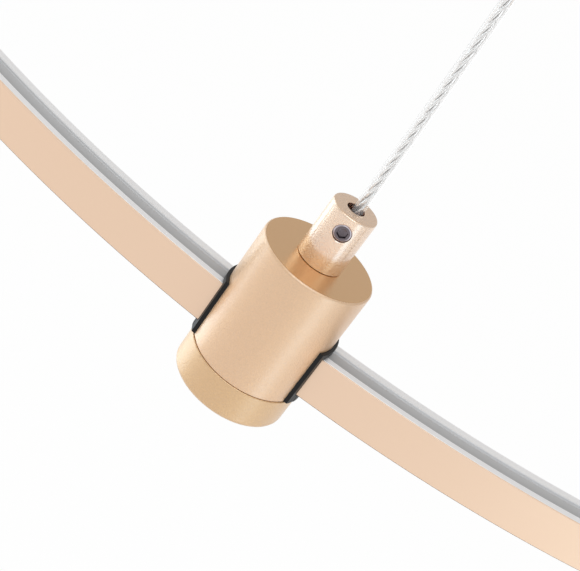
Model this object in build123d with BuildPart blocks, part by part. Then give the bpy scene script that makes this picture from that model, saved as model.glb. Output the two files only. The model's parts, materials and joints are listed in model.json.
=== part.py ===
from build123d import *
from math import atan2, cos, degrees, hypot, radians, sin, sqrt, tan
import os

# Pendant ring light: a slim LED ring hung level on three cables from a round ceiling canopy.
# Millimetres. The origin is the middle of the ceiling bracket's top face, on the ceiling, with +Z up,
# so the light hangs below it. The first suspension point is towards -Y.

# Suspension layout
SUSPENSION_POINTS = 3
FIRST_ANGLE = -90.0
CEILING_DROP = 520.0
RING_RADIUS = 200.0

# Ring section, measured from its top and its middle line
PROFILE_WIDTH = 7.0
PROFILE_HEIGHT = 8.0
BAND_THICK = 0.3
BAND_GAP = 0.05
BAND_EDGE = 0.12
LIP_EDGE = 0.15
GROOVE_WIDTH = 3.4
GROOVE_DEPTH = 0.45
WEB_THICK = 1.75
CHANNEL_WALL = 1.0
DIFFUSER_HEIGHT = 1.5
DIFFUSER_FIT = 0.05
LEDGE_WIDTH = 0.3
LEDGE_HEIGHT = 0.4
STRIP_THICK = 0.3
STRIP_SIDE_GAP = 0.3
STRIP_FIT = 0.05
CHIP_COUNT = 96
CHIP_LENGTH = 2.2
CHIP_WIDTH = 1.4
CHIP_HEIGHT = 0.6

# Connector body and cap
BODY_DIAMETER = 20.0
BODY_ABOVE_RING = 12.3
BODY_ROOF = 4.0
BODY_EDGE = 0.4
SEAM_BELOW_RING = 1.7
SEAM_GAP = 0.1
SEAM_EDGE = 0.12
CHAMBER_DIAMETER = 8.0
NECK_DIAMETER = 16.0
NECK_LENGTH = 4.0
THREAD_FIT = 0.1
CAP_FLOOR = 2.3
CAP_PROUD = 0.2
CAP_EDGE = 0.9

# Slot liner and ring pad
LINER_WALL = 0.85
LINER_ROOF = 1.3
LINER_PROUD = 0.6
LINER_FIT = 0.05
LINER_HOOK = 0.8
RING_FIT = 0.1
PAD_FIT = 0.25

# Ferrule, stud, set screw and cable end
FERRULE_DIAMETER = 8.0
FERRULE_HEIGHT = 10.5
FERRULE_EDGE = 0.35
FERRULE_GAP = 0.05
CABLE_BORE = 3.1
STUD_DIAMETER = 5.0
STUD_REACH = 4.0
STUD_FIT = 0.05
SCREW_DIAMETER = 3.0
SCREW_RISE = 7.55
SCREW_TURN = 9.0
SCREW_FIT = 0.05
SCREW_SINK = 0.15
SCREW_EDGE = 0.25
SCREW_MOUTH = 0.3
SOCKET_WIDTH = 1.5
SOCKET_DEPTH = 1.2
STOP_DIAMETER = 5.0
STOP_LENGTH = 5.0
STOP_FIT = 0.05
LEAD_DIAMETER = 1.2
LEAD_FIT = 0.3

# Suspension cable
CABLE_DIAMETER = 2.0
CABLE_BEND_RUN = 4.0
CABLE_TAIL = 4.0

# Ceiling canopy and bracket
CANOPY_DIAMETER = 220.0
CANOPY_HEIGHT = 30.0
CANOPY_WALL = 1.2
CANOPY_EDGE = 6.0
CEILING_GAP = 0.5
BRACKET_WIDTH = 24.0
BRACKET_THICK = 1.5
BRACKET_EAR = 20.0
BRACKET_GAP = 0.5
BRACKET_BEND = 1.0
SLOT_SPACING = 80.0
SLOT_LENGTH = 14.0
SLOT_WIDTH = 5.0
ENTRY_DIAMETER = 12.0
ENTRY_X = 20.0
THUMB_DIAMETER = 4.0
THUMB_FIT = 0.1
THUMB_CLEARANCE = 0.2
THUMB_DROP = 12.0
THUMB_HEAD_DIAMETER = 9.0
THUMB_HEAD_LENGTH = 6.0
THUMB_HEAD_GAP = 0.2
THUMB_HEAD_EDGE = 0.6
THUMB_TIP = 3.0

# Cable grips in the canopy, measured from its underside and from the start of its rounded edge
GRIP_INSET = 12.0
GRIP_FLANGE_DIAMETER = 16.0
GRIP_FLANGE_THICK = 2.0
GRIP_DIAMETER = 12.0
GRIP_LENGTH = 18.0
GRIP_NECK_DIAMETER = 10.0
GRIP_NECK_LENGTH = 12.0
GRIP_HOLE_FIT = 0.1
GRIP_EDGE = 0.4
GRIP_BORE = 3.4
NUT_WIDTH = 14.0
NUT_THICK = 4.0
SPRING_ROOM_DIAMETER = 8.4
SPRING_LENGTH = 5.4
SPRING_WALL = 0.8
END_RING_DIAMETER = 10.0
END_RING_DEPTH = 4.0
END_RING_FLANGE = 1.0
END_RING_FIT = 0.05
PLUNGER_DIAMETER = 5.0
PLUNGER_FIT = 0.1
PLUNGER_REACH = 5.0
PLUNGER_BORE = 3.2
PLUNGER_EDGE = 0.5
COLLAR_THICK = 1.5
COLLAR_FIT = 0.3
COLLAR_GAP = 0.05

# Electrics in the canopy
DRIVER_LENGTH = 90.0
DRIVER_WIDTH = 36.0
DRIVER_HEIGHT = 20.0
DRIVER_CORNER = 3.0
DRIVER_EDGE = 1.2
DRIVER_RIB_COUNT = 7
DRIVER_RIB_SPACING = 10.0
DRIVER_RIB_WIDTH = 2.0
DRIVER_RIB_DEPTH = 0.6
PAD_THICK = 1.0
PAD_INSET = 6.0
TERMINAL_LENGTH = 18.0
TERMINAL_WIDTH = 24.0
TERMINAL_HEIGHT = 14.0
TERMINAL_GAP = 10.0
TERMINAL_POLES = 3
POLE_SPACING = 7.5
POLE_HOLE = 3.2
POLE_HOLE_DEPTH = 6.0
WELL_DIAMETER = 4.0
WELL_DEPTH = 5.0
WELL_SPACING = 9.0
BEND_SHARE = 0.45
SUPPLY_LEAD = 1.6
OUTPUT_LEAD = 1.4
LEAD_SPACING = 12.0
SUPPLY_DROP = 7.0
OUTPUT_OUT = 16.0
OUTPUT_STAND = 14.0
OUTPUT_RISE = 6.0
SPLICE_DIAMETER = 4.6
SPLICE_LENGTH = 8.0
SPLICE_GRIP = 3.0
SPLICE_EDGE = 0.5

# Levels and radii worked out from the sizes above
RING_TOP = -CEILING_DROP
PROFILE_HALF = PROFILE_WIDTH / 2
BAND_INNER = PROFILE_HALF - BAND_THICK
RAIL_OUTER = BAND_INNER - BAND_GAP
CHANNEL_INNER = -PROFILE_HALF + CHANNEL_WALL
CHANNEL_OUTER = RAIL_OUTER - CHANNEL_WALL
CHANNEL_MIDDLE = (CHANNEL_INNER + CHANNEL_OUTER) / 2
CHANNEL_ROOF = -GROOVE_DEPTH - WEB_THICK
STRIP_TOP = CHANNEL_ROOF - STRIP_FIT
DIFFUSER_TOP = -PROFILE_HEIGHT + DIFFUSER_HEIGHT

BODY_TOP = BODY_ABOVE_RING
SEAM = -PROFILE_HEIGHT - SEAM_BELOW_RING
NECK_BOTTOM = SEAM - NECK_LENGTH
CAP_TOP = SEAM - SEAM_GAP
CAP_INSIDE = NECK_BOTTOM - SEAM_GAP
CAP_BOTTOM = CAP_INSIDE - CAP_FLOOR
CHAMBER_TOP = BODY_TOP - BODY_ROOF
RING_SIDE = PROFILE_HALF + RING_FIT
LINER_HALF = RING_SIDE + LINER_WALL
LINER_TOP = RING_FIT + LINER_ROOF
BODY_SLOT_HALF = LINER_HALF + LINER_FIT
BODY_SLOT_TOP = LINER_TOP + LINER_FIT
LINER_RADIUS = BODY_DIAMETER / 2 + LINER_PROUD
HOOK_HALF = RING_SIDE - LINER_HOOK
PAD_TOP = -PROFILE_HEIGHT - RING_FIT

FERRULE_BOTTOM = BODY_TOP + FERRULE_GAP
FERRULE_TOP = FERRULE_BOTTOM + FERRULE_HEIGHT
STUD_BOTTOM = CHAMBER_TOP
STUD_TOP = BODY_TOP + STUD_REACH
STOP_TOP = CHAMBER_TOP - STOP_FIT
STOP_BOTTOM = STOP_TOP - STOP_LENGTH
SCREW_TIP = CABLE_DIAMETER / 2 + SCREW_FIT
SCREW_END = FERRULE_DIAMETER / 2 - SCREW_SINK

GRIP_RADIUS = CANOPY_DIAMETER / 2 - CANOPY_EDGE - GRIP_INSET
GRIP_BOTTOM = -GRIP_LENGTH
END_RING_TOP = GRIP_BOTTOM + END_RING_DEPTH
END_RING_BOTTOM = GRIP_BOTTOM - END_RING_FLANGE
COLLAR_BOTTOM = END_RING_TOP + COLLAR_GAP
COLLAR_TOP = COLLAR_BOTTOM + COLLAR_THICK
SPRING_TOP = COLLAR_TOP + SPRING_LENGTH
PLUNGER_BOTTOM = END_RING_BOTTOM - PLUNGER_REACH
CABLE_END = GRIP_NECK_LENGTH + CABLE_TAIL
SPLICE_BOTTOM = CABLE_END - SPLICE_GRIP
SPLICE_TOP = SPLICE_BOTTOM + SPLICE_LENGTH

CANOPY_FLOOR = -CANOPY_HEIGHT + CANOPY_WALL
EAR_CORNER = CANOPY_DIAMETER / 2 - CANOPY_WALL - BRACKET_GAP
EAR_OUTSIDE = sqrt(EAR_CORNER**2 - (BRACKET_WIDTH / 2) ** 2)
DRIVER_BOTTOM = CANOPY_FLOOR + PAD_THICK
DRIVER_MIDDLE = DRIVER_BOTTOM + DRIVER_HEIGHT / 2
TERMINAL_FACE = -DRIVER_LENGTH / 2 - TERMINAL_GAP
TERMINAL_MIDDLE = -BRACKET_THICK - TERMINAL_HEIGHT / 2

os.makedirs("parts", exist_ok=True)


def angle_of(index):
    """Angle of one suspension point round the ring, in degrees."""
    return FIRST_ANGLE + 360.0 / SUSPENSION_POINTS * index


def seat_at(index, radius, level):
    """Upright plane at one suspension point, with its x axis pointing outwards from the middle."""
    turn = radians(angle_of(index))
    outwards = (cos(turn), sin(turn), 0)
    return Plane(origin=(radius * cos(turn), radius * sin(turn), level), x_dir=outwards, z_dir=(0, 0, 1))


def slab(left, right, low, high, mode=Mode.ADD):
    """Rectangle between two sides and two levels, in the sketch that is open."""
    with Locations(((left + right) / 2, (low + high) / 2)):
        Rectangle(right - left, high - low, mode=mode)


def ring_slab(inner, outer, low, high, mode=Mode.ADD):
    """Rectangle of the ring's section, from its middle line and its top, in the sketch that is open."""
    slab(RING_RADIUS + inner, RING_RADIUS + outer, RING_TOP + low, RING_TOP + high, mode)


def bend_radii(points):
    """Radius of the bend at each inner point of a lead, as large as the two runs beside it allow."""
    radii = []
    for before, corner, after in zip(points, points[1:], points[2:]):
        run_in = corner - before
        run_out = after - corner
        half_turn = radians(run_in.get_angle(run_out)) / 2
        radii.append(BEND_SHARE * min(run_in.length, run_out.length) / tan(half_turn))
    return radii


def write(piece, label):
    """Label a finished piece and write its file."""
    piece.part.label = label
    export_step(piece.part, f"parts/{label}.step")


# Ring: an aluminium rail with a shallow groove on top and a light channel below
with BuildPart() as ring_profile:
    with BuildSketch(Plane.XZ) as rail_section:
        ring_slab(-PROFILE_HALF, RAIL_OUTER, -PROFILE_HEIGHT, 0)
        chamfer(rail_section.vertices().group_by(Axis.Y)[-1], LIP_EDGE)
        ring_slab(-GROOVE_WIDTH / 2, GROOVE_WIDTH / 2, -GROOVE_DEPTH, GROOVE_DEPTH, Mode.SUBTRACT)
        ring_slab(CHANNEL_INNER, CHANNEL_OUTER, -PROFILE_HEIGHT, CHANNEL_ROOF, Mode.SUBTRACT)
        ring_slab(CHANNEL_INNER, CHANNEL_INNER + LEDGE_WIDTH, DIFFUSER_TOP, DIFFUSER_TOP + LEDGE_HEIGHT)
        ring_slab(CHANNEL_OUTER - LEDGE_WIDTH, CHANNEL_OUTER, DIFFUSER_TOP, DIFFUSER_TOP + LEDGE_HEIGHT)
    revolve(axis=Axis.Z)
    for index in range(SUSPENSION_POINTS):
        with BuildSketch(seat_at(index, RING_RADIUS, RING_TOP)):
            Circle(LEAD_DIAMETER / 2 + LEAD_FIT)
        extrude(amount=CHANNEL_ROOF - LEAD_FIT, mode=Mode.SUBTRACT)
write(ring_profile, "ring_profile")

with BuildPart() as ring_band:
    with BuildSketch(Plane.XZ) as band_section:
        ring_slab(BAND_INNER, PROFILE_HALF, -PROFILE_HEIGHT, 0)
        chamfer(band_section.vertices().group_by(Axis.X)[-1], BAND_EDGE)
    revolve(axis=Axis.Z)
write(ring_band, "ring_band")

with BuildPart() as led_strip:
    with BuildSketch(Plane.XZ):
        ring_slab(CHANNEL_INNER + STRIP_SIDE_GAP, CHANNEL_OUTER - STRIP_SIDE_GAP, STRIP_TOP - STRIP_THICK, STRIP_TOP)
    revolve(axis=Axis.Z)
write(led_strip, "led_strip")

with BuildPart() as led_chips:
    with BuildSketch(Plane.XY.offset(RING_TOP + STRIP_TOP - STRIP_THICK)):
        with PolarLocations(RING_RADIUS + CHANNEL_MIDDLE, CHIP_COUNT):
            Rectangle(CHIP_WIDTH, CHIP_LENGTH)
    extrude(amount=-CHIP_HEIGHT)
write(led_chips, "led_chips")

with BuildPart() as diffuser:
    with BuildSketch(Plane.XZ):
        ring_slab(
            CHANNEL_INNER + DIFFUSER_FIT,
            CHANNEL_OUTER - DIFFUSER_FIT,
            -PROFILE_HEIGHT,
            DIFFUSER_TOP - DIFFUSER_FIT,
        )
    revolve(axis=Axis.Z)
write(diffuser, "diffuser")

# Connectors: a slotted body, its cap, the black lining round the ring, and the cable's ferrule
for index in range(SUSPENSION_POINTS):
    number = index + 1
    seat = seat_at(index, RING_RADIUS, RING_TOP)

    with BuildPart() as connector_body:
        with BuildSketch(seat.offset(BODY_TOP)):
            Circle(BODY_DIAMETER / 2)
        extrude(amount=SEAM - BODY_TOP)
        rims = connector_body.edges().filter_by(GeomType.CIRCLE).sort_by(Axis.Z)
        chamfer(rims[-1], BODY_EDGE)
        chamfer(rims[0], SEAM_EDGE)
        with BuildSketch(seat.offset(SEAM)):
            Circle(NECK_DIAMETER / 2)
        extrude(amount=-NECK_LENGTH)
        with BuildSketch(seat.offset(BODY_SLOT_TOP)):
            Rectangle(2 * BODY_SLOT_HALF, 2 * BODY_DIAMETER)
        extrude(amount=NECK_BOTTOM - BODY_SLOT_TOP, mode=Mode.SUBTRACT)
        with BuildSketch(seat.offset(CHAMBER_TOP)):
            Circle(CHAMBER_DIAMETER / 2)
        extrude(amount=BODY_SLOT_TOP - CHAMBER_TOP, mode=Mode.SUBTRACT)
        with BuildSketch(seat.offset(BODY_TOP)):
            Circle(STUD_DIAMETER / 2 + STUD_FIT)
        extrude(amount=-BODY_ROOF, mode=Mode.SUBTRACT)
    write(connector_body, f"connector_body_{number}")

    with BuildPart() as connector_cap:
        with BuildSketch(seat.offset(CAP_TOP)):
            Circle(BODY_DIAMETER / 2 + CAP_PROUD)
        extrude(amount=CAP_BOTTOM - CAP_TOP)
        rims = connector_cap.edges().filter_by(GeomType.CIRCLE).sort_by(Axis.Z)
        chamfer(rims[-1], SEAM_EDGE)
        fillet(rims[0], CAP_EDGE)
        with BuildSketch(seat.offset(CAP_TOP)):
            Circle(NECK_DIAMETER / 2 + THREAD_FIT)
        extrude(amount=CAP_INSIDE - CAP_TOP, mode=Mode.SUBTRACT)
    write(connector_cap, f"connector_cap_{number}")

    with BuildPart() as slot_liner:
        with BuildSketch(seat.offset(LINER_TOP)):
            Circle(LINER_RADIUS)
            Rectangle(2 * LINER_HALF, 2 * BODY_DIAMETER, mode=Mode.INTERSECT)
        extrude(amount=SEAM - LINER_TOP)
        with BuildSketch(Plane.XY.offset(RING_TOP + RING_FIT)):
            Circle(RING_RADIUS + RING_SIDE)
            Circle(RING_RADIUS - RING_SIDE, mode=Mode.SUBTRACT)
        extrude(amount=PAD_TOP - RING_FIT, mode=Mode.SUBTRACT)
        with BuildSketch(seat.offset(PAD_TOP)):
            Rectangle(2 * HOOK_HALF, 2 * BODY_DIAMETER)
        extrude(amount=SEAM - PAD_TOP, mode=Mode.SUBTRACT)
        with BuildSketch(seat.offset(LINER_TOP)):
            Circle(LEAD_DIAMETER / 2 + LEAD_FIT)
        extrude(amount=-LINER_TOP, mode=Mode.SUBTRACT)
    write(slot_liner, f"slot_liner_{number}")

    with BuildPart() as ring_pad:
        with BuildSketch(seat.offset(PAD_TOP)):
            Circle(LINER_RADIUS)
            Rectangle(2 * (HOOK_HALF - PAD_FIT), 2 * BODY_DIAMETER, mode=Mode.INTERSECT)
        extrude(amount=CAP_TOP - PAD_TOP)
        with BuildSketch(seat.offset(CAP_TOP)):
            Circle(NECK_DIAMETER / 2 - PAD_FIT)
            Rectangle(2 * (BODY_SLOT_HALF - PAD_FIT), 2 * BODY_DIAMETER, mode=Mode.INTERSECT)
        extrude(amount=CAP_INSIDE - CAP_TOP)
    write(ring_pad, f"ring_pad_{number}")

    turn = radians(angle_of(index) + SCREW_TURN)
    screw_seat = Plane(
        origin=seat.from_local_coords(Vector(0, 0, FERRULE_BOTTOM + SCREW_RISE)),
        x_dir=(0, 0, 1),
        z_dir=(cos(turn), sin(turn), 0),
    )
    screw_hole = SCREW_DIAMETER / 2 + SCREW_FIT

    with BuildPart() as cable_ferrule:
        with BuildSketch(seat.offset(FERRULE_BOTTOM)):
            Circle(FERRULE_DIAMETER / 2)
        extrude(amount=FERRULE_HEIGHT)
        chamfer(cable_ferrule.edges().filter_by(GeomType.CIRCLE).sort_by(Axis.Z)[-1], FERRULE_EDGE)
        with BuildSketch(seat.offset(FERRULE_BOTTOM)):
            Circle(CABLE_BORE / 2)
        extrude(amount=FERRULE_HEIGHT, mode=Mode.SUBTRACT)
        with BuildSketch(seat.offset(FERRULE_BOTTOM)):
            Circle(STUD_DIAMETER / 2 + STUD_FIT)
        extrude(amount=STUD_TOP + STUD_FIT - FERRULE_BOTTOM, mode=Mode.SUBTRACT)
        with BuildSketch(screw_seat):
            Circle(screw_hole)
        extrude(amount=FERRULE_DIAMETER, mode=Mode.SUBTRACT)
        with BuildSketch(screw_seat.offset(FERRULE_DIAMETER / 2 - SCREW_MOUTH)):
            Circle(screw_hole)
        extrude(amount=2 * SCREW_MOUTH, taper=-45, mode=Mode.SUBTRACT)
    write(cable_ferrule, f"cable_ferrule_{number}")

    with BuildPart() as ferrule_stud:
        with BuildSketch(seat.offset(STUD_BOTTOM)):
            Circle(STUD_DIAMETER / 2)
            Circle(CABLE_BORE / 2, mode=Mode.SUBTRACT)
        extrude(amount=STUD_TOP - STUD_BOTTOM)
    write(ferrule_stud, f"ferrule_stud_{number}")

    with BuildPart() as ferrule_screw:
        with BuildSketch(screw_seat.offset(SCREW_TIP)):
            Circle(SCREW_DIAMETER / 2)
        extrude(amount=SCREW_END - SCREW_TIP)
        chamfer(ferrule_screw.edges().filter_by(GeomType.CIRCLE), SCREW_EDGE)
        with BuildSketch(screw_seat.offset(SCREW_END)):
            RegularPolygon(SOCKET_WIDTH / 2, 6, major_radius=False)
        extrude(amount=-SOCKET_DEPTH, mode=Mode.SUBTRACT)
    write(ferrule_screw, f"ferrule_screw_{number}")

    with BuildPart() as cable_stop:
        with BuildSketch(seat.offset(STOP_TOP)):
            Circle(STOP_DIAMETER / 2)
            Circle(CABLE_DIAMETER / 2 + STOP_FIT, mode=Mode.SUBTRACT)
        extrude(amount=-STOP_LENGTH)
    write(cable_stop, f"cable_stop_{number}")

    with BuildPart() as feed_lead:
        with BuildSketch(seat.offset(STOP_BOTTOM)):
            Circle(LEAD_DIAMETER / 2)
        extrude(amount=STRIP_TOP - STOP_BOTTOM)
    write(feed_lead, f"feed_lead_{number}")

# Suspension cables: upright in both fittings, straight and taut between them
for index in range(SUSPENSION_POINTS):
    number = index + 1
    foot = seat_at(index, RING_RADIUS, RING_TOP)
    head = seat_at(index, GRIP_RADIUS, -CANOPY_HEIGHT)
    low_end = foot.from_local_coords(Vector(0, 0, STOP_BOTTOM))
    low_bend = foot.from_local_coords(Vector(0, 0, FERRULE_TOP + CABLE_BEND_RUN))
    high_bend = head.from_local_coords(Vector(0, 0, PLUNGER_BOTTOM - CABLE_BEND_RUN))
    high_end = head.from_local_coords(Vector(0, 0, CABLE_END))
    taut = high_bend - low_bend
    lean = atan2(hypot(taut.X, taut.Y), taut.Z)
    bend_radius = CABLE_BEND_RUN / tan(lean / 2)

    with BuildPart() as suspension_cable:
        with BuildLine() as route:
            FilletPolyline(low_end, low_bend, high_bend, high_end, radius=bend_radius)
        with BuildSketch(Plane(origin=route.line @ 0, z_dir=route.line % 0)):
            Circle(CABLE_DIAMETER / 2)
        sweep(path=route.line)
    write(suspension_cable, f"suspension_cable_{number}")
    cable_length = route.wire().length
print(f"cable lean {degrees(lean):.1f} degrees, bend radius {bend_radius:.1f}, length {cable_length:.1f}")

# Cable grips: a barrel through the canopy, its sprung release plunger, and the ring that keeps it in
for index in range(SUSPENSION_POINTS):
    number = index + 1
    seat = seat_at(index, GRIP_RADIUS, -CANOPY_HEIGHT)

    with BuildPart() as grip_barrel:
        with BuildSketch(seat):
            Circle(GRIP_FLANGE_DIAMETER / 2)
        extrude(amount=-GRIP_FLANGE_THICK)
        chamfer(grip_barrel.edges().filter_by(GeomType.CIRCLE).sort_by(Axis.Z)[0], GRIP_EDGE)
        with BuildSketch(seat.offset(-GRIP_FLANGE_THICK)):
            Circle(GRIP_DIAMETER / 2)
        extrude(amount=GRIP_BOTTOM + GRIP_FLANGE_THICK)
        with BuildSketch(seat):
            Circle(GRIP_NECK_DIAMETER / 2)
        extrude(amount=GRIP_NECK_LENGTH)
        chamfer(grip_barrel.edges().filter_by(GeomType.CIRCLE).sort_by(Axis.Z)[-1], GRIP_EDGE)
        with BuildSketch(seat.offset(GRIP_BOTTOM)):
            Circle(GRIP_BORE / 2)
        extrude(amount=GRIP_LENGTH + GRIP_NECK_LENGTH, mode=Mode.SUBTRACT)
        with BuildSketch(seat.offset(GRIP_BOTTOM)):
            Circle(SPRING_ROOM_DIAMETER / 2)
        extrude(amount=SPRING_TOP - GRIP_BOTTOM, mode=Mode.SUBTRACT)
        with BuildSketch(seat.offset(GRIP_BOTTOM)):
            Circle(END_RING_DIAMETER / 2 + END_RING_FIT)
        extrude(amount=END_RING_DEPTH, mode=Mode.SUBTRACT)
    write(grip_barrel, f"grip_barrel_{number}")

    with BuildPart() as grip_end_ring:
        with BuildSketch(seat.offset(END_RING_TOP)):
            Circle(END_RING_DIAMETER / 2)
        extrude(amount=-END_RING_DEPTH)
        with BuildSketch(seat.offset(GRIP_BOTTOM)):
            Circle(GRIP_DIAMETER / 2)
        extrude(amount=-END_RING_FLANGE)
        chamfer(grip_end_ring.edges().filter_by(GeomType.CIRCLE).sort_by(Axis.Z)[0], GRIP_EDGE)
        with BuildSketch(seat.offset(END_RING_TOP)):
            Circle(PLUNGER_DIAMETER / 2 + PLUNGER_FIT)
        extrude(amount=END_RING_BOTTOM - END_RING_TOP, mode=Mode.SUBTRACT)
    write(grip_end_ring, f"grip_end_ring_{number}")

    with BuildPart() as grip_plunger:
        with BuildSketch(seat.offset(COLLAR_TOP)):
            Circle(SPRING_ROOM_DIAMETER / 2 - COLLAR_FIT)
        extrude(amount=-COLLAR_THICK)
        with BuildSketch(seat.offset(COLLAR_BOTTOM)):
            Circle(PLUNGER_DIAMETER / 2)
        extrude(amount=PLUNGER_BOTTOM - COLLAR_BOTTOM)
        fillet(grip_plunger.edges().filter_by(GeomType.CIRCLE).sort_by(Axis.Z)[0], PLUNGER_EDGE)
        with BuildSketch(seat.offset(COLLAR_TOP)):
            Circle(PLUNGER_BORE / 2)
        extrude(amount=PLUNGER_BOTTOM - COLLAR_TOP, mode=Mode.SUBTRACT)
    write(grip_plunger, f"grip_plunger_{number}")

    with BuildPart() as grip_spring:
        with BuildSketch(seat.offset(COLLAR_TOP)):
            Circle(SPRING_ROOM_DIAMETER / 2 - COLLAR_FIT)
            Circle(SPRING_ROOM_DIAMETER / 2 - COLLAR_FIT - SPRING_WALL, mode=Mode.SUBTRACT)
        extrude(amount=SPRING_LENGTH)
    write(grip_spring, f"grip_spring_{number}")

grip_angles = {
    "start_angle": FIRST_ANGLE,
    "count": SUSPENSION_POINTS,
}

with BuildPart() as grip_nuts:
    with BuildSketch(Plane.XY.offset(CANOPY_FLOOR)):
        with PolarLocations(GRIP_RADIUS, **grip_angles):
            RegularPolygon(NUT_WIDTH / 2, 6, major_radius=False)
            Circle(GRIP_NECK_DIAMETER / 2 + GRIP_HOLE_FIT, mode=Mode.SUBTRACT)
    extrude(amount=NUT_THICK)
write(grip_nuts, "grip_nuts")

# Ceiling fitting: a bracket with turned-down ears, and the spun cover that two thumb screws hold to it
with BuildPart() as ceiling_bracket:
    with BuildSketch(Plane.XZ) as strap:
        slab(-EAR_OUTSIDE, EAR_OUTSIDE, -BRACKET_EAR, 0)
        fillet(strap.vertices().group_by(Axis.Y)[-1], BRACKET_BEND + BRACKET_THICK)
        inside = EAR_OUTSIDE - BRACKET_THICK
        with BuildSketch(mode=Mode.SUBTRACT) as hollow:
            slab(-inside, inside, -BRACKET_EAR, -BRACKET_THICK)
            fillet(hollow.vertices().group_by(Axis.Y)[-1], BRACKET_BEND)
    extrude(amount=BRACKET_WIDTH / 2, both=True)
    with BuildSketch(Plane.XY):
        with GridLocations(SLOT_SPACING, 0, 2, 1):
            SlotOverall(SLOT_LENGTH, SLOT_WIDTH)
        with Locations((ENTRY_X, 0)):
            Circle(ENTRY_DIAMETER / 2)
    extrude(amount=-BRACKET_THICK, mode=Mode.SUBTRACT)
    with BuildSketch(Plane.YZ.offset(-EAR_OUTSIDE)):
        with Locations((0, -THUMB_DROP)):
            Circle(THUMB_DIAMETER / 2 + THUMB_FIT)
    extrude(amount=2 * EAR_OUTSIDE, mode=Mode.SUBTRACT)
write(ceiling_bracket, "ceiling_bracket")

with BuildPart() as canopy_cover:
    with BuildSketch(Plane.XY.offset(-CEILING_GAP)):
        Circle(CANOPY_DIAMETER / 2)
    extrude(amount=CEILING_GAP - CANOPY_HEIGHT)
    fillet(canopy_cover.edges().filter_by(GeomType.CIRCLE).sort_by(Axis.Z)[0], CANOPY_EDGE)
    offset(amount=-CANOPY_WALL, openings=canopy_cover.faces().sort_by(Axis.Z)[-1])
    with BuildSketch(Plane.XY.offset(-CANOPY_HEIGHT)):
        with PolarLocations(GRIP_RADIUS, **grip_angles):
            Circle(GRIP_NECK_DIAMETER / 2 + GRIP_HOLE_FIT)
    extrude(amount=CANOPY_WALL, mode=Mode.SUBTRACT)
    with BuildSketch(Plane.YZ.offset(-CANOPY_DIAMETER / 2)):
        with Locations((0, -THUMB_DROP)):
            Circle(THUMB_DIAMETER / 2 + THUMB_CLEARANCE)
    extrude(amount=CANOPY_DIAMETER, mode=Mode.SUBTRACT)
write(canopy_cover, "canopy_cover")

for side, label in ((1, "cover_screw_right"), (-1, "cover_screw_left")):
    thumb_seat = Plane(origin=(0, 0, -THUMB_DROP), x_dir=(0, 1, 0), z_dir=(side, 0, 0))
    head_face = CANOPY_DIAMETER / 2 + THUMB_HEAD_GAP
    with BuildPart() as cover_screw:
        with BuildSketch(thumb_seat.offset(head_face)):
            Circle(THUMB_HEAD_DIAMETER / 2)
        extrude(amount=THUMB_HEAD_LENGTH)
        chamfer(cover_screw.edges().filter_by(GeomType.CIRCLE), THUMB_HEAD_EDGE)
        with BuildSketch(thumb_seat.offset(head_face)):
            Circle(THUMB_DIAMETER / 2)
        extrude(amount=EAR_OUTSIDE - BRACKET_THICK - THUMB_TIP - head_face)
    write(cover_screw, label)

# Electrics: a driver taped to the cover's floor, a terminal block under the bracket, and their leads
with BuildPart() as driver_pad:
    with BuildSketch(Plane.XY.offset(CANOPY_FLOOR)):
        Rectangle(DRIVER_LENGTH - 2 * PAD_INSET, DRIVER_WIDTH - 2 * PAD_INSET)
    extrude(amount=PAD_THICK)
write(driver_pad, "driver_pad")

with BuildPart() as driver:
    with BuildSketch(Plane.XY.offset(DRIVER_BOTTOM)):
        RectangleRounded(DRIVER_LENGTH, DRIVER_WIDTH, DRIVER_CORNER)
    extrude(amount=DRIVER_HEIGHT)
    chamfer(driver.faces().sort_by(Axis.Z)[-1].edges(), DRIVER_EDGE)
    with BuildSketch(Plane.XY.offset(DRIVER_BOTTOM + DRIVER_HEIGHT)):
        with GridLocations(DRIVER_RIB_SPACING, 0, DRIVER_RIB_COUNT, 1):
            Rectangle(DRIVER_RIB_WIDTH, DRIVER_WIDTH / 2)
    extrude(amount=-DRIVER_RIB_DEPTH, mode=Mode.SUBTRACT)
write(driver, "driver")

with BuildPart() as terminal_block:
    with BuildSketch(Plane.XY.offset(-BRACKET_THICK)):
        with Locations((TERMINAL_FACE - TERMINAL_LENGTH / 2, 0)):
            Rectangle(TERMINAL_LENGTH, TERMINAL_WIDTH)
    extrude(amount=-TERMINAL_HEIGHT)
    with BuildSketch(Plane.XY.offset(-BRACKET_THICK - TERMINAL_HEIGHT)):
        with Locations((TERMINAL_FACE - TERMINAL_LENGTH / 2, 0)):
            with GridLocations(WELL_SPACING, POLE_SPACING, 2, TERMINAL_POLES):
                Circle(WELL_DIAMETER / 2)
    extrude(amount=WELL_DEPTH, mode=Mode.SUBTRACT)
    for face, inwards in ((TERMINAL_FACE, -1), (TERMINAL_FACE - TERMINAL_LENGTH, 1)):
        with BuildSketch(Plane.YZ.offset(face)):
            with Locations((0, TERMINAL_MIDDLE)):
                with GridLocations(POLE_SPACING, 0, TERMINAL_POLES, 1):
                    Circle(POLE_HOLE / 2)
        extrude(amount=inwards * POLE_HOLE_DEPTH, mode=Mode.SUBTRACT)
write(terminal_block, "terminal_block")

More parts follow.
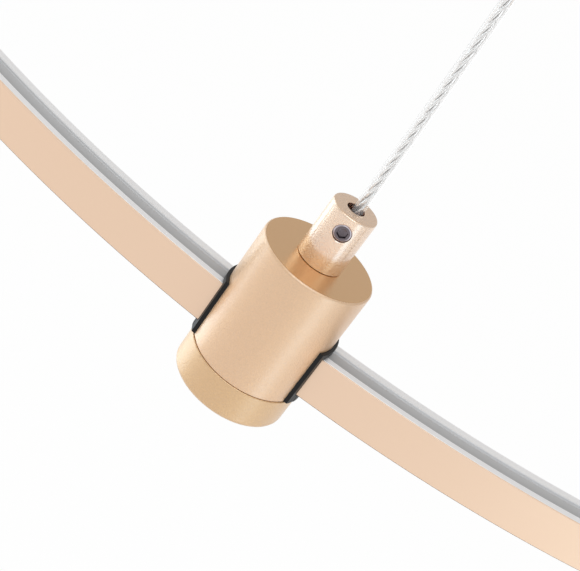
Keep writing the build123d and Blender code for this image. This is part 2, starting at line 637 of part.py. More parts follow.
with BuildPart() as supply_leads:
    for pole in (-POLE_SPACING, POLE_SPACING):
        start = Vector(-DRIVER_LENGTH / 2, pole, TERMINAL_MIDDLE - SUPPLY_DROP)
        end = Vector(TERMINAL_FACE - POLE_HOLE_DEPTH / 2, pole, TERMINAL_MIDDLE)
        first_bend = Vector(start.X - TERMINAL_GAP / 2, pole, start.Z)
        second_bend = Vector(start.X - TERMINAL_GAP / 2, pole, end.Z)
        points = [start, first_bend, second_bend, end]
        with BuildLine() as supply_route:
            FilletPolyline(*points, radius=bend_radii(points))
        with BuildSketch(Plane(origin=start, z_dir=(-1, 0, 0))):
            Circle(SUPPLY_LEAD / 2)
        sweep(path=supply_route.line)
write(supply_leads, "supply_leads")

with BuildPart() as splice_caps:
    with BuildSketch(Plane.XY.offset(-CANOPY_HEIGHT + SPLICE_BOTTOM)):
        with PolarLocations(GRIP_RADIUS, **grip_angles):
            Circle(SPLICE_DIAMETER / 2)
    extrude(amount=SPLICE_LENGTH)
    chamfer(splice_caps.edges().filter_by(GeomType.CIRCLE).group_by(Axis.Z)[-1], SPLICE_EDGE)
    with BuildSketch(Plane.XY.offset(-CANOPY_HEIGHT + SPLICE_BOTTOM)):
        with PolarLocations(GRIP_RADIUS, **grip_angles):
            Circle(CABLE_DIAMETER / 2 + STOP_FIT)
    extrude(amount=SPLICE_GRIP, mode=Mode.SUBTRACT)
write(splice_caps, "splice_caps")

with BuildPart() as output_leads:
    for index, side in ((0, -1), (1, 1)):
        start = Vector(DRIVER_LENGTH / 2, side * LEAD_SPACING / 2, DRIVER_MIDDLE)
        grip = seat_at(index, GRIP_RADIUS, -CANOPY_HEIGHT + SPLICE_TOP)
        end = grip.origin
        near_driver = start + Vector(OUTPUT_OUT, 0, 0)
        near_grip = grip.from_local_coords(Vector(-OUTPUT_STAND, 0, 0))
        on_floor = Vector(near_grip.X, near_grip.Y, CANOPY_FLOOR + OUTPUT_LEAD)
        half_way = (near_driver + on_floor) / 2
        sag = Vector(half_way.X, half_way.Y, CANOPY_FLOOR + OUTPUT_LEAD)
        over_splice = end + Vector(0, 0, OUTPUT_RISE)
        beside_splice = grip.from_local_coords(Vector(-OUTPUT_STAND, 0, OUTPUT_RISE / 2))
        points = [start, near_driver, sag, on_floor, beside_splice, over_splice, end]
        with BuildLine() as output_route:
            FilletPolyline(*points, radius=bend_radii(points))
        with BuildSketch(Plane(origin=start, z_dir=(1, 0, 0))):
            Circle(OUTPUT_LEAD / 2)
        sweep(path=output_route.line)
write(output_leads, "output_leads")
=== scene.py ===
"""Pendant ring light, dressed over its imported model.

A slim LED ring hangs level on three clear cables from a round ceiling canopy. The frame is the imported
model's, in metres: the origin is on the ceiling, +Z is up and the first suspension point is towards -Y.
The sizes of the light and of the viewpoint, and every surface until it becomes a mesh, are in millimetres.
The studio's floor and lamps are in metres.
"""

from __future__ import annotations

import json
import logging
import math
from dataclasses import dataclass, replace
from enum import Enum
from typing import Any, ClassVar, Sequence

import bmesh
import bpy
import numpy as np
from mathutils import Matrix

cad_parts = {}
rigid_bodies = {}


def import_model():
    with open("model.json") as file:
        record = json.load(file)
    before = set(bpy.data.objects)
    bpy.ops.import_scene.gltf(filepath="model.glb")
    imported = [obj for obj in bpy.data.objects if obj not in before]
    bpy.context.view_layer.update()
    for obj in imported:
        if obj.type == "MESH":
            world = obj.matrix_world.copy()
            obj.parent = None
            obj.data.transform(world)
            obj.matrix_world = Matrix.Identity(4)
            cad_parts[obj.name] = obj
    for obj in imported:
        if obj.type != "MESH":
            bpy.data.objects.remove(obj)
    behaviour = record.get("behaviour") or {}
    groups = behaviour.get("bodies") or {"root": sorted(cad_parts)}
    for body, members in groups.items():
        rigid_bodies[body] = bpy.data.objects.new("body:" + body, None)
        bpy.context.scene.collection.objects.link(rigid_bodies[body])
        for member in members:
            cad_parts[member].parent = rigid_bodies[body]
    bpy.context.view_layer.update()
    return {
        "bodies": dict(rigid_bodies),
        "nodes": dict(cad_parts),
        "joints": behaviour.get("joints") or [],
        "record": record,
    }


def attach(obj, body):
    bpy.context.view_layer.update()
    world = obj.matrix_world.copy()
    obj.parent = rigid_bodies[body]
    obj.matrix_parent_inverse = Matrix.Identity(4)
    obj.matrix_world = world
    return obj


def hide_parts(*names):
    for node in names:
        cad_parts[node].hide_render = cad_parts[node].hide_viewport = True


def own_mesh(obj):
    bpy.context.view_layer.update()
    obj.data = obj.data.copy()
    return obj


LOG = logging.getLogger("ring_light")
MM = 0.001
ARC_STEPS = 5
BEVEL_STEPS = 2
MERGE_DISTANCE = 5e-7
SHARP_ANGLE = math.radians(38.0)
FIXTURE = "fixture"
SUSPENSION_ANGLES = (-90.0, 30.0, 150.0)
Triple = tuple[float, float, float]
Socket = bpy.types.NodeSocket
Sockets = bpy.types.NodeOutputs


class Slot(Enum):
    """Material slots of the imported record."""

    CHAMPAGNE_GOLD = "champagne_gold"
    GOLD_BAND = "gold_band"
    BARE_ALUMINIUM = "bare_aluminium"
    BLACK_PLASTIC = "black_plastic"
    DARK_STEEL = "dark_steel"
    STEEL = "steel"
    ZINC_STEEL = "zinc_steel"
    BRASS = "brass"
    CLEAR_CABLE = "clear_cable"
    LEAD_SHEATH = "lead_sheath"
    STRIP_WHITE = "strip_white"
    CHIP_YELLOW = "chip_yellow"
    OPAL = "opal"
    DRIVER_WHITE = "driver_white"
    FOAM_TAPE = "foam_tape"
    TERMINAL_WHITE = "terminal_white"
    SPLICE_GREY = "splice_grey"


class Effect(Enum):
    """Shader node groups that several finishes share."""

    GRAIN = "surface_grain"
    LINES = "tool_lines"
    SPECKS = "dust_specks"


class LineRun(Enum):
    """The measure that a tool's lines step along."""

    RADIUS = "radius"
    HEIGHT = "height"


def linear(red: float, green: float, blue: float) -> tuple[float, float, float, float]:
    """Turn a display colour of 0 to 255 into the linear colour that a shader takes.

    The display's standard curve, for a colour c of 0 to 1, is ((c + 0.055) / 1.055) to the power 2.4, and
    c / 12.92 up to 0.04045.

    Args:
        red: Red on the display.
        green: Green on the display.
        blue: Blue on the display.

    Returns:
        Linear red, green and blue with a full alpha.
    """
    shown = np.array([red, green, blue]) / 255.0
    light = np.where(shown <= 0.04045, shown / 12.92, ((shown + 0.055) / 1.055) ** 2.4)
    return (*light.tolist(), 1.0)


def unit(vectors: np.ndarray) -> np.ndarray:
    """Scale vectors, along the last axis, to a length of one."""
    return vectors / np.linalg.norm(vectors, axis=-1, keepdims=True)


@dataclass(frozen=True)
class Seat:
    """A place in the frame with axes of its own."""

    origin: Triple
    x_axis: Triple
    z_axis: Triple

    def to_frame(self, points: np.ndarray) -> np.ndarray:
        """Carry points to the frame: origin + x X + y (Z cross X) + z Z.

        Args:
            points: Points in the seat's own axes, along the last axis of the array.

        Returns:
            The same points in the frame.
        """
        axes = np.array([self.x_axis, np.cross(self.z_axis, self.x_axis), self.z_axis])
        return points @ axes + np.array(self.origin)

    def raised(self, height: float) -> Triple:
        """Point on the seat's z axis, in the frame."""
        return tuple(self.to_frame(np.array([0.0, 0.0, height])).tolist())


def upright_seat(angle: float, radius: float, level: float) -> Seat:
    """Upright seat at an angle round the light's axis, with x pointing outwards.

    Args:
        angle: Angle round the axis, in degrees.
        radius: Distance from the axis.
        level: Height of the seat.

    Returns:
        The seat.
    """
    turn = math.radians(angle)
    outwards = (math.cos(turn), math.sin(turn), 0.0)
    return Seat((radius * outwards[0], radius * outwards[1], level), outwards, (0.0, 0.0, 1.0))


@dataclass
class Surface:
    """Points, the four corners of each face and, for a finish that asks for it, how much painted light each
    point takes.
    """

    points: np.ndarray
    faces: np.ndarray
    painted_light_share: np.ndarray | None = None

    def placed(self, seat: Seat) -> Surface:
        """The surface carried from a seat's axes to the frame."""
        return Surface(seat.to_frame(self.points), self.faces, self.painted_light_share)


def joined(surfaces: Sequence[Surface]) -> Surface:
    """Put several surfaces into one.

    Args:
        surfaces: The surfaces, in order.

    Returns:
        One surface with all their points and faces.
    """
    starts = np.cumsum([0] + [len(surface.points) for surface in surfaces[:-1]])
    return Surface(
        np.concatenate([surface.points for surface in surfaces]),
        np.concatenate([surface.faces + start for surface, start in zip(surfaces, starts)]),
    )


def grid_surface(points: np.ndarray, wrap_rows: bool = True, wrap_columns: bool = True) -> Surface:
    """Join a grid of points into faces, each point with the next along its row and its column.

    Args:
        points: Points as rows by columns by 3.
        wrap_rows: Whether the last row joins the first.
        wrap_columns: Whether the last column joins the first.

    Returns:
        The surface.
    """
    rows, columns = points.shape[:2]
    numbers = np.arange(rows * columns).reshape(rows, columns)
    below = np.roll(numbers, -1, axis=0)
    corners = np.stack([numbers, below, np.roll(below, -1, axis=1), np.roll(numbers, -1, axis=1)], axis=-1)
    kept = corners[: rows if wrap_rows else rows - 1, : columns if wrap_columns else columns - 1]
    return Surface(points.reshape(-1, 3), kept.reshape(-1, 4))


def rounded(corners: Sequence[Triple]) -> np.ndarray:
    """Closed outline whose corners are arcs.

    A corner's arc has its centre on the bisector, radius / sin(half the corner) away, and swings between
    the two directions from that centre to the sides: centre + a sin((1-s) w) / sin w + b sin(s w) / sin w.

    Args:
        corners: Corners as x, y and the arc's radius, with no three in line.

    Returns:
        The outline's points.
    """
    table = np.array(corners, dtype=float)
    corner, radius = table[:, :2], table[:, 2:]
    back = unit(np.roll(corner, 1, axis=0) - corner)
    ahead = unit(np.roll(corner, -1, axis=0) - corner)
    half = np.arccos(np.clip((back * ahead).sum(axis=1, keepdims=True), -1.0, 1.0)) / 2
    centre = corner + unit(back + ahead) * radius / np.sin(half)
    reach = radius / np.tan(half)
    start = (corner + back * reach - centre)[:, None]
    end = (corner + ahead * reach - centre)[:, None]
    swing = (math.pi - 2 * half)[:, None]
    step = np.linspace(0.0, 1.0, ARC_STEPS + 1)[None, :, None]
    arc = start * np.sin((1 - step) * swing) + end * np.sin(step * swing)
    return (centre[:, None] + arc / np.sin(swing)).reshape(-1, 2)


def full_turn(steps: int) -> np.ndarray:
    """Angles set evenly round a full turn."""
    return np.linspace(0.0, 2 * math.pi, steps, endpoint=False)


def about_axis(reach: np.ndarray, angle: np.ndarray, height: np.ndarray) -> np.ndarray:
    """Points about the z axis: (reach cos a, reach sin a, height)."""
    return np.stack(np.broadcast_arrays(reach * np.cos(angle), reach * np.sin(angle), height), axis=-1)


def lathe(outline: np.ndarray, segments: int) -> Surface:
    """Turn a closed outline about the z axis: (r cos a, r sin a, z).

    Args:
        outline: Points of the outline as radius and height.
        segments: Steps round the axis.

    Returns:
        The turned surface.
    """
    return grid_surface(about_axis(outline[:, 0], full_turn(segments)[:, None], outline[:, 1]))


def rod(radius: float, low: float, high: float, segments: int) -> Surface:
    """Plain rod about the z axis, between two heights."""
    return lathe(np.array([(0.0, low), (radius, low), (radius, high), (0.0, high)]), segments)


def hexagon(angle: np.ndarray) -> np.ndarray:
    """Radius of a hexagon whose sides are one from its middle: 1 / cos(angle from the nearest side)."""
    return 1.0 / np.cos(np.mod(angle, math.pi / 3) - math.pi / 6)


def hexed_lathe(rings: Sequence[Triple], segments: int, closed: bool) -> Surface:
    """Turn rings that go from round to six-sided: r = radius (1 + six (hexagon(a) - 1)).

    Args:
        rings: Rings as radius, height and how six-sided they are, from 0 to 1.
        segments: Steps round the axis.
        closed: Whether the last ring joins the first.

    Returns:
        The turned surface.
    """
    radius, height, six = np.array(rings, dtype=float).T[:, :, None]
    angle = full_turn(segments)[None, :]
    reach = radius * (1 + six * (hexagon(angle) - 1))
    return grid_surface(about_axis(reach, angle, height), wrap_rows=closed)


def thread(radius: float, depth: float, pitch: float, start: float, end: float) -> list[Triple]:
    """Corners of a row of thread ridges, the crests on the radius and the roots a depth inside it.

    Args:
        radius: Radius of the crests.
        depth: Depth of the roots.
        pitch: Distance from crest to crest.
        start: Height of the first crest.
        end: Height that the last root doesn't pass.

    Returns:
        Corners as radius, height and no rounding.
    """
    count = int(abs(end - start) / pitch)
    step = math.copysign(pitch, end - start)
    crests = start + step * np.arange(count)
    roots = crests + step / 2
    heights = np.stack([crests, roots], axis=1).ravel()
    radii = np.tile([radius, radius - depth], count)
    return [(r, z, 0.0) for r, z in zip(radii.tolist(), heights.tolist())]


def block(low: Sequence[float], high: Sequence[float]) -> Surface:
    """Box between two corners.

    Args:
        low: The corner with the least x, y and z.
        high: The corner across from it.

    Returns:
        The box's surface.
    """
    corners = np.array(np.meshgrid(*zip(low, high), indexing="ij")).reshape(3, -1).T
    faces = [[0, 1, 3, 2], [4, 6, 7, 5], [0, 4, 5, 1], [2, 3, 7, 6], [0, 2, 6, 4], [1, 5, 7, 3]]
    return Surface(corners.astype(float), np.array(faces))


def points_of(mesh: bpy.types.Mesh) -> np.ndarray:
    """Read the points of a mesh.

    Args:
        mesh: The mesh, in metres.

    Returns:
        Its points, in millimetres.
    """
    flat = np.empty(3 * len(mesh.vertices), dtype=np.float32)
    mesh.vertices.foreach_get("co", flat)
    return flat.reshape(-1, 3).astype(float) / MM


def axes_matrix(right: np.ndarray, up: np.ndarray, back: np.ndarray, place: np.ndarray) -> Matrix:
    """Matrix of something that stands at a place, from its three axes."""
    return Matrix([*np.column_stack([right, up, back, place]).tolist(), [0.0, 0.0, 0.0, 1.0]])


class Sheet:
    """Sets out shader nodes in one node tree."""

    def __init__(self, owner: bpy.types.Material | bpy.types.World | bpy.types.NodeTree) -> None:
        """Start with an empty tree.

        Args:
            owner: A material or a world, whose nodes are cleared, or a new node group.
        """
        if not isinstance(owner, bpy.types.NodeTree):
            owner.use_nodes = True
            owner.node_tree.nodes.clear()
            owner = owner.node_tree
        self.tree: bpy.types.NodeTree = owner

    def put(self, socket: Socket, value: Any) -> None:
        """Feed one input of a node.

        Args:
            socket: The input.
            value: The output of another node, which is linked to it, or a plain value.
        """
        if isinstance(value, Socket):
            self.tree.links.new(value, socket)
        else:
            socket.default_value = value

    def node(self, kind: str, inputs: dict[str | int, Any] | None = None, **settings: Any) -> bpy.types.Node:
        """Add a node.

        Args:
            kind: Blender's name of the node's type.
            inputs: Values or outputs of other nodes for the node's inputs, by name or number.
            settings: The node's own settings.

        Returns:
            The node.
        """
        made = self.tree.nodes.new(kind)
        for name, value in settings.items():
            setattr(made, name, value)
        for name, value in (inputs or {}).items():
            self.put(made.inputs[name], value)
        return made

    def sum(self, operation: str, *values: Any) -> Socket:
        """Work out one sum, named as Blender names it, of numbers or outputs of other nodes."""
        return self.node("ShaderNodeMath", dict(enumerate(values)), operation=operation).outputs[0]

    def factor(self, mask: Socket, value: float) -> Socket:
        """A factor that is one outside a mask and a value inside it: 1 + mask (value - 1)."""
        return self.sum("MULTIPLY_ADD", mask, value - 1.0, 1.0)


class EffectShop:
    """Builds each shared node group once."""

    def __init__(self) -> None:
        """Build the groups."""
        self.groups = {
            Effect.GRAIN: self._noise(Effect.GRAIN, "Vector", "Vector", detail=2.0, roughness=0.6),
            Effect.LINES: self._noise(
                Effect.LINES, "Along", "W", detail=3.0, roughness=0.7, noise_dimensions="1D"
            ),
            Effect.SPECKS: self._specks(),
        }

    def __getitem__(self, effect: Effect) -> bpy.types.NodeTree:
        """The group of one effect."""
        return self.groups[effect]

    @staticmethod
    def _start(effect: Effect, inputs: Sequence[str], outputs: Sequence[str]) -> tuple[Sheet, Sockets]:
        """Start a group with its named sockets.

        Args:
            effect: The effect that the group makes.
            inputs: Names of its inputs, of which Vector is a vector and the rest are numbers.
            outputs: Names of its outputs, all numbers.

        Returns:
            The group's sheet, and what the group is given.
        """
        tree = bpy.data.node_groups.new(effect.value, "ShaderNodeTree")
        for name in inputs:
            kind = "NodeSocketVector" if name == "Vector" else "NodeSocketFloat"
            tree.interface.new_socket(name=name, in_out="INPUT", socket_type=kind)
        for name in outputs:
            tree.interface.new_socket(name=name, in_out="OUTPUT", socket_type="NodeSocketFloat")
        sheet = Sheet(tree)
        return sheet, sheet.node("NodeGroupInput").outputs

    def _noise(
        self, effect: Effect, along: str, socket: str, detail: float, roughness: float, **settings: Any
    ) -> bpy.types.NodeTree:
        """Even random noise: a tone of 1 + depth (noise - 0.5), and the noise itself as a height.

        Args:
            effect: The effect that the group makes, such as grain, or the lines of a die or a lathe tool.
            along: Name of the group's input that the noise follows.
            socket: Name of the noise node's own input for it.
            detail: How many finer layers the noise has.
            roughness: How strong the finer layers are.
            settings: Settings of the noise node.

        Returns:
            The group.
        """
        sheet, given = self._start(effect, (along, "Scale", "Depth"), ("Tone", "Height"))
        inputs = {socket: given[along], "Scale": given["Scale"], "Detail": detail, "Roughness": roughness}
        noise = sheet.node("ShaderNodeTexNoise", inputs, **settings).outputs["Fac"]
        tone = sheet.sum("MULTIPLY_ADD", sheet.sum("SUBTRACT", noise, 0.5), given["Depth"], 1.0)
        sheet.node("NodeGroupOutput", {"Tone": tone, "Height": noise})
        return sheet.tree

    def _specks(self) -> bpy.types.NodeTree:
        """Sparse dust specks: a dot in some of the cells of a random cell pattern.

        Returns:
            The group.
        """
        sheet, given = self._start(Effect.SPECKS, ("Vector", "Scale", "Size", "Share"), ("Mask",))
        inputs = {"Vector": given["Vector"], "Scale": given["Scale"]}
        cells = sheet.node("ShaderNodeTexVoronoi", inputs).outputs
        lot = sheet.node("ShaderNodeSeparateColor", {"Color": cells["Color"]}).outputs
        chosen = sheet.sum("LESS_THAN", lot["Red"], given["Share"])
        near = sheet.sum("LESS_THAN", cells["Distance"], sheet.sum("MULTIPLY", lot["Green"], given["Size"]))
        sheet.node("NodeGroupOutput", {"Mask": sheet.sum("MULTIPLY", chosen, near)})
        return sheet.tree


class FinishSheet(Sheet):
    """Sheet of one material, with its shader, the place on the object and the shared node groups."""

    def __init__(self, name: str, effects: EffectShop) -> None:
        """Start a material with a bare shader.

        Args:
            name: Name of the material.
            effects: The shared node groups.
        """
        self.material = bpy.data.materials.new(name)
        super().__init__(self.material)
        self.effects = effects
        self.shader = self.node("ShaderNodeBsdfPrincipled")
        self.node("ShaderNodeOutputMaterial", {"Surface": self.shader.outputs["BSDF"]})
        self.place = self.node("ShaderNodeTexCoord").outputs["Object"]

    def shade(self, inputs: dict[str, Any]) -> None:
        """Feed the shader's inputs, by name."""
        for name, value in inputs.items():
            self.put(self.shader.inputs[name], value)

    def effect(self, effect: Effect, inputs: dict[str, Any]) -> Sockets:
        """Place a shared node group with this finish's own values."""
        return self.node("ShaderNodeGroup", inputs, node_tree=self.effects[effect]).outputs

    def grain(self, scale: float, depth: float) -> Sockets:
        """Place the grain, at a scale per metre and with a depth of tone."""
        return self.effect(Effect.GRAIN, {"Vector": self.place, "Scale": scale, "Depth": depth})

    def parts(self) -> Sockets:
        """The place on the object as X, Y and Z."""
        return self.node("ShaderNodeSeparateXYZ", {"Vector": self.place}).outputs

    def varied(self, middle: float, spread: float, height: Socket) -> Socket:
        """A value that changes with a height of 0 to 1: middle (1 + spread (height - 0.5))."""
        shift = self.sum("MULTIPLY_ADD", height, spread, 1.0 - spread / 2)
        return self.sum("MULTIPLY", shift, middle)

    def relief(self, height: Socket, depth: float, strength: Socket | float = 1.0) -> None:
        """Raise the surface by a height of 0 to 1 times a depth in millimetres."""
        inputs = {"Height": height, "Strength": strength, "Distance": depth * MM}
        self.shade({"Normal": self.node("ShaderNodeBump", inputs).outputs["Normal"]})


@dataclass(frozen=True)
class Finish:
    """What every finish has: its slot, its display colour and its shine."""

    name: str
    slot: Slot
    colour: Triple
    roughness: float
    metallic: float = 0.0

    def make(self, effects: EffectShop) -> bpy.types.Material:
        """Build the material.

        Args:
            effects: The shared node groups.

        Returns:
            The material.
        """
        sheet = FinishSheet(self.name, effects)
        sheet.shade({"Metallic": self.metallic})
        self.dress(sheet)
        sheet.material.diffuse_color = linear(*self.colour)
        return sheet.material

    def dress(self, sheet: FinishSheet) -> None:
        """Put the finish's own nodes before the shader."""
        raise NotImplementedError

    def toned(self, sheet: FinishSheet, tone: Socket) -> Socket:
        """The finish's colour made lighter and darker by a tone near one."""
        inputs = {"Color": linear(*self.colour), "Value": tone}
        return sheet.node("ShaderNodeHueSaturation", inputs).outputs["Color"]


@dataclass(frozen=True)
class GrainedFinish(Finish):
    """Blasted metal, moulded plastic or foam: fine grain, a slow drift of tone, and a few specks of dust.

    Above the face level, where there is one, the metal is turned: its shine, coat and grain are changed by
    factors of their own, and its tone is lowered as painted shade on the top face.
    Sizes, heights and levels are in millimetres, and scales are per metre.
    """

    grain_size: float = 0.2
    grain_tone: float = 0.1
    grain_height: float = 0.01
    drift_tone: float = 0.06
    shine_drift: float = 0.2
    speck_share: float = 0.0
    # Colour of the dust specks, and in the subclasses the colour of painted highlight or painted shade.
    speck_and_light_colour: Triple = (92.0, 70.0, 50.0)
    coat: float = 0.0
    coat_roughness: float = 0.34
    coat_ior: float = 1.5
    ior: float = 1.5
    face_level: float | None = None
    face_shine: float = 0.34
    face_grain: float = 0.3
    # Painted shade: the tone factor of the top face, which darkens it.
    face_painted_shade: float = 0.87
    face_coat: float = 0.0

    drift_scale: ClassVar[float] = 45.0
    speck_scale: ClassVar[float] = 620.0
    speck_size: ClassVar[float] = 0.13

    def mask(self, sheet: FinishSheet) -> Socket | None:
        """Where the specks are, or nothing for a clean finish.

        Args:
            sheet: The material's sheet.

        Returns:
            The mask's output, or nothing.
        """
        if not self.speck_share:
            return None
        inputs = {"Scale": self.speck_scale, "Size": self.speck_size, "Share": self.speck_share}
        return sheet.effect(Effect.SPECKS, {"Vector": sheet.place, **inputs})["Mask"]

    def dress(self, sheet: FinishSheet) -> None:
        """Grain in tone and height, drift in tone and roughness, painted shade on the top face where there
        is one,
        and a second colour over the colour: dust specks here, painted light in the subclasses.

        Args:
            sheet: The material's sheet.
        """
        grain = sheet.grain(1.0 / (self.grain_size * MM), self.grain_tone)
        drift = sheet.grain(self.drift_scale, self.drift_tone)
        rough = sheet.varied(self.roughness, self.shine_drift, drift["Height"])
        speckle, strength, coat = grain["Tone"], 1.0, self.coat
        if self.face_level is not None:
            faced = sheet.sum("GREATER_THAN", sheet.parts()["Z"], self.face_level * MM)
            rough = sheet.sum("MULTIPLY", rough, sheet.factor(faced, self.face_shine))
            strength = sheet.factor(faced, self.face_grain)
            speckle = sheet.sum("MULTIPLY_ADD", sheet.sum("SUBTRACT", speckle, 1.0), strength, 1.0)
            # Painted shade: the top face's tone is lowered by its own factor.
            speckle = sheet.sum("MULTIPLY", speckle, sheet.factor(faced, self.face_painted_shade))
            coat = sheet.sum("MULTIPLY_ADD", faced, self.coat * (self.face_coat - 1.0), self.coat)
        colour = self.toned(sheet, sheet.sum("MULTIPLY", speckle, drift["Tone"]))
        # Dust specks in this class; in the subclasses, the mask says where highlight or shade is painted in
        # the second colour.
        mask = self.mask(sheet)
        if mask:
            specks_and_light = {"Fac": mask, "Color1": colour, "Color2": linear(*self.speck_and_light_colour)}
            colour = sheet.node("ShaderNodeMixRGB", specks_and_light).outputs["Color"]
        sheet.relief(grain["Height"], self.grain_height, strength)
        sheet.shade({"Base Color": colour, "Roughness": rough, "IOR": self.ior, "Coat Weight": coat})
        sheet.shade({"Coat Roughness": self.coat_roughness, "Coat IOR": self.coat_ior})


@dataclass(frozen=True)
class PaintedLightFinish(GrainedFinish):
    """Grained metal with painted light where the mesh says so: the second colour is painted there, lighter
    for a painted highlight, darker for painted shade.
    """

    # Mesh attribute holding each point's share of painted light.
    attribute: ClassVar[str] = "painted_light"

    def mask(self, sheet: FinishSheet) -> Socket | None:
        """The mesh's own share of painted light at each point."""
        return sheet.node("ShaderNodeAttribute", attribute_name=self.attribute).outputs["Fac"]


@dataclass(frozen=True)
class ShadedEdgeFinish(GrainedFinish):
    """Grained skin with painted shade: darker below one level, along its rounded lower edge."""

    shade_below: float = 0.0

    def mask(self, sheet: FinishSheet) -> Socket | None:
        """One below the level, where the shade is painted."""
        return sheet.sum("LESS_THAN", sheet.parts()["Z"], self.shade_below * MM)


@dataclass(frozen=True)
class LinedFinish(Finish):
    """Drawn or turned metal: fine lines that step along the radius or the height, over a drift of tone."""

    run: LineRun = LineRun.HEIGHT
    line_size: float = 0.12
    line_tone: float = 0.16
    line_height: float = 0.004
    drift_tone: float = 0.08
    drift_scale: float = 70.0
    shine_lines: float = 0.3

    def along(self, sheet: FinishSheet) -> Socket:
        """The measure that the lines step along: the height, or the square root of x squared plus y squared.

        Args:
            sheet: The material's sheet.

        Returns:
            The measure's output.
        """
        parts = sheet.parts()
        if self.run is LineRun.HEIGHT:
            return parts["Z"]
        side = sheet.sum("MULTIPLY", parts["Y"], parts["Y"])
        return sheet.sum("SQRT", sheet.sum("MULTIPLY_ADD", parts["X"], parts["X"], side))

    def groove_shaded(self, sheet: FinishSheet, tone: Socket, rough: Socket) -> tuple[Socket, Socket]:
        """The tone and the roughness as they are, for a finish without a groove of painted shade."""
        return tone, rough

    def dress(self, sheet: FinishSheet) -> None:
        """Lines in tone, roughness and height, with a drift of tone between them.

        Args:
            sheet: The material's sheet.
        """
        inputs = {"Along": self.along(sheet), "Scale": 1.0 / (self.line_size * MM), "Depth": self.line_tone}
        lines = sheet.effect(Effect.LINES, inputs)
        drift = sheet.grain(self.drift_scale, self.drift_tone)
        tone = sheet.sum("MULTIPLY", lines["Tone"], drift["Tone"])
        rough = sheet.varied(self.roughness, self.shine_lines, lines["Height"])
        tone, rough = self.groove_shaded(sheet, tone, rough)
        sheet.relief(lines["Height"], self.line_height)
        sheet.shade({"Base Color": self.toned(sheet, tone), "Roughness": rough})


@dataclass(frozen=True)
class RailFinish(LinedFinish):
    """Drawn rail: lined metal whose top groove is left rough, with painted shade that darkens it most
    towards the outer lip.
    """

    groove_floor: float = -521.0
    groove_radius: float = 200.0
    groove_half: float = 1.7
    groove_start: float = 1.12
    groove_fade: float = 0.16
    groove_painted_shade: float = 0.44
    groove_shade_slope: float = 0.1
    groove_rough: float = 1.6

    def groove_shaded(self, sheet: FinishSheet, tone: Socket, rough: Socket) -> tuple[Socket, Socket]:
        """Paint shade into the groove by lowering the tone, and raise the roughness, within the groove's
        width, on the rail's top.

        Args:
            sheet: The material's sheet.
            tone: The tone without the groove.
            rough: The roughness without the groove.

        Returns:
            The tone times 1 - m (shade + slope x), which is the painted shade, and the roughness times 1 + m
            (rough - 1), where x goes from -1 to 1 across the groove and m rises from 0 to 1 over the round
            of its inner edge.
        """
        off = sheet.sum("SUBTRACT", self.along(sheet), self.groove_radius * MM)
        across = sheet.sum("DIVIDE", off, self.groove_half * MM)
        fade = sheet.sum("DIVIDE", sheet.sum("ADD", across, self.groove_start), self.groove_fade)
        inside = sheet.sum("MINIMUM", sheet.sum("MAXIMUM", fade, 0.0), sheet.sum("LESS_THAN", across, 1.0))
        above = sheet.sum("GREATER_THAN", sheet.parts()["Z"], self.groove_floor * MM)
        grooved = sheet.sum("MULTIPLY", inside, above)
        # Painted shade: the groove's recess is darkened, most towards the outer lip.
        darkening = sheet.sum("MULTIPLY_ADD", across, self.groove_shade_slope, self.groove_painted_shade)
        left = sheet.sum("SUBTRACT", 1.0, sheet.sum("MULTIPLY", grooved, darkening))
        gain = sheet.factor(grooved, self.groove_rough)
        return sheet.sum("MULTIPLY", tone, left), sheet.sum("MULTIPLY", rough, gain)


@dataclass(frozen=True)
class ClearFinish(Finish):
    """Clear plastic over a cable's strands, with a faint unevenness of its skin."""

    ior: float = 1.4
    clear: float = 0.8
    skin_size: float = 1.6
    skin_tone: float = 0.04
    skin_height: float = 0.003
    shine_skin: float = 0.5

    def dress(self, sheet: FinishSheet) -> None:
        """Clear body colour with a slightly uneven skin.

        Args:
            sheet: The material's sheet.
        """
        skin = sheet.grain(1.0 / (self.skin_size * MM), self.skin_tone)
        rough = sheet.varied(self.roughness, self.shine_skin, skin["Height"])
        sheet.relief(skin["Height"], self.skin_height)
        sheet.shade({"Base Color": self.toned(sheet, skin["Tone"]), "Roughness": rough})
        sheet.shade({"IOR": self.ior, "Transmission Weight": self.clear})


BODY_GOLD = GrainedFinish(
    "champagne_gold", Slot.CHAMPAGNE_GOLD, (235, 191, 143), 0.52, 1.0,
    grain_size=0.26, grain_tone=0.22, grain_height=0.11, speck_share=0.035, coat=1.0, coat_ior=2.4,
    face_level=-507.72, face_shine=0.42, face_painted_shade=0.9,
)
CANOPY_GOLD = replace(BODY_GOLD, name="champagne_gold_canopy", face_level=None)
CAP_GOLD = replace(CANOPY_GOLD, name="champagne_gold_deep", colour=(228, 188, 138), coat_ior=1.85)
# Painted shade: the bore's inner wall takes the darker brown colour, for the shade inside the hole.
FERRULE_GOLD = PaintedLightFinish(
    "champagne_gold_coarse", Slot.CHAMPAGNE_GOLD, (247, 209, 172), 0.33, 1.0,
    grain_size=0.28, grain_tone=0.12, grain_height=0.2, speck_and_light_colour=(176.0, 116.0, 84.0), coat=1.0,
    coat_roughness=0.18, coat_ior=3.2, face_level=-497.28, face_shine=1.0, face_painted_shade=0.9, face_coat=0.6,
)
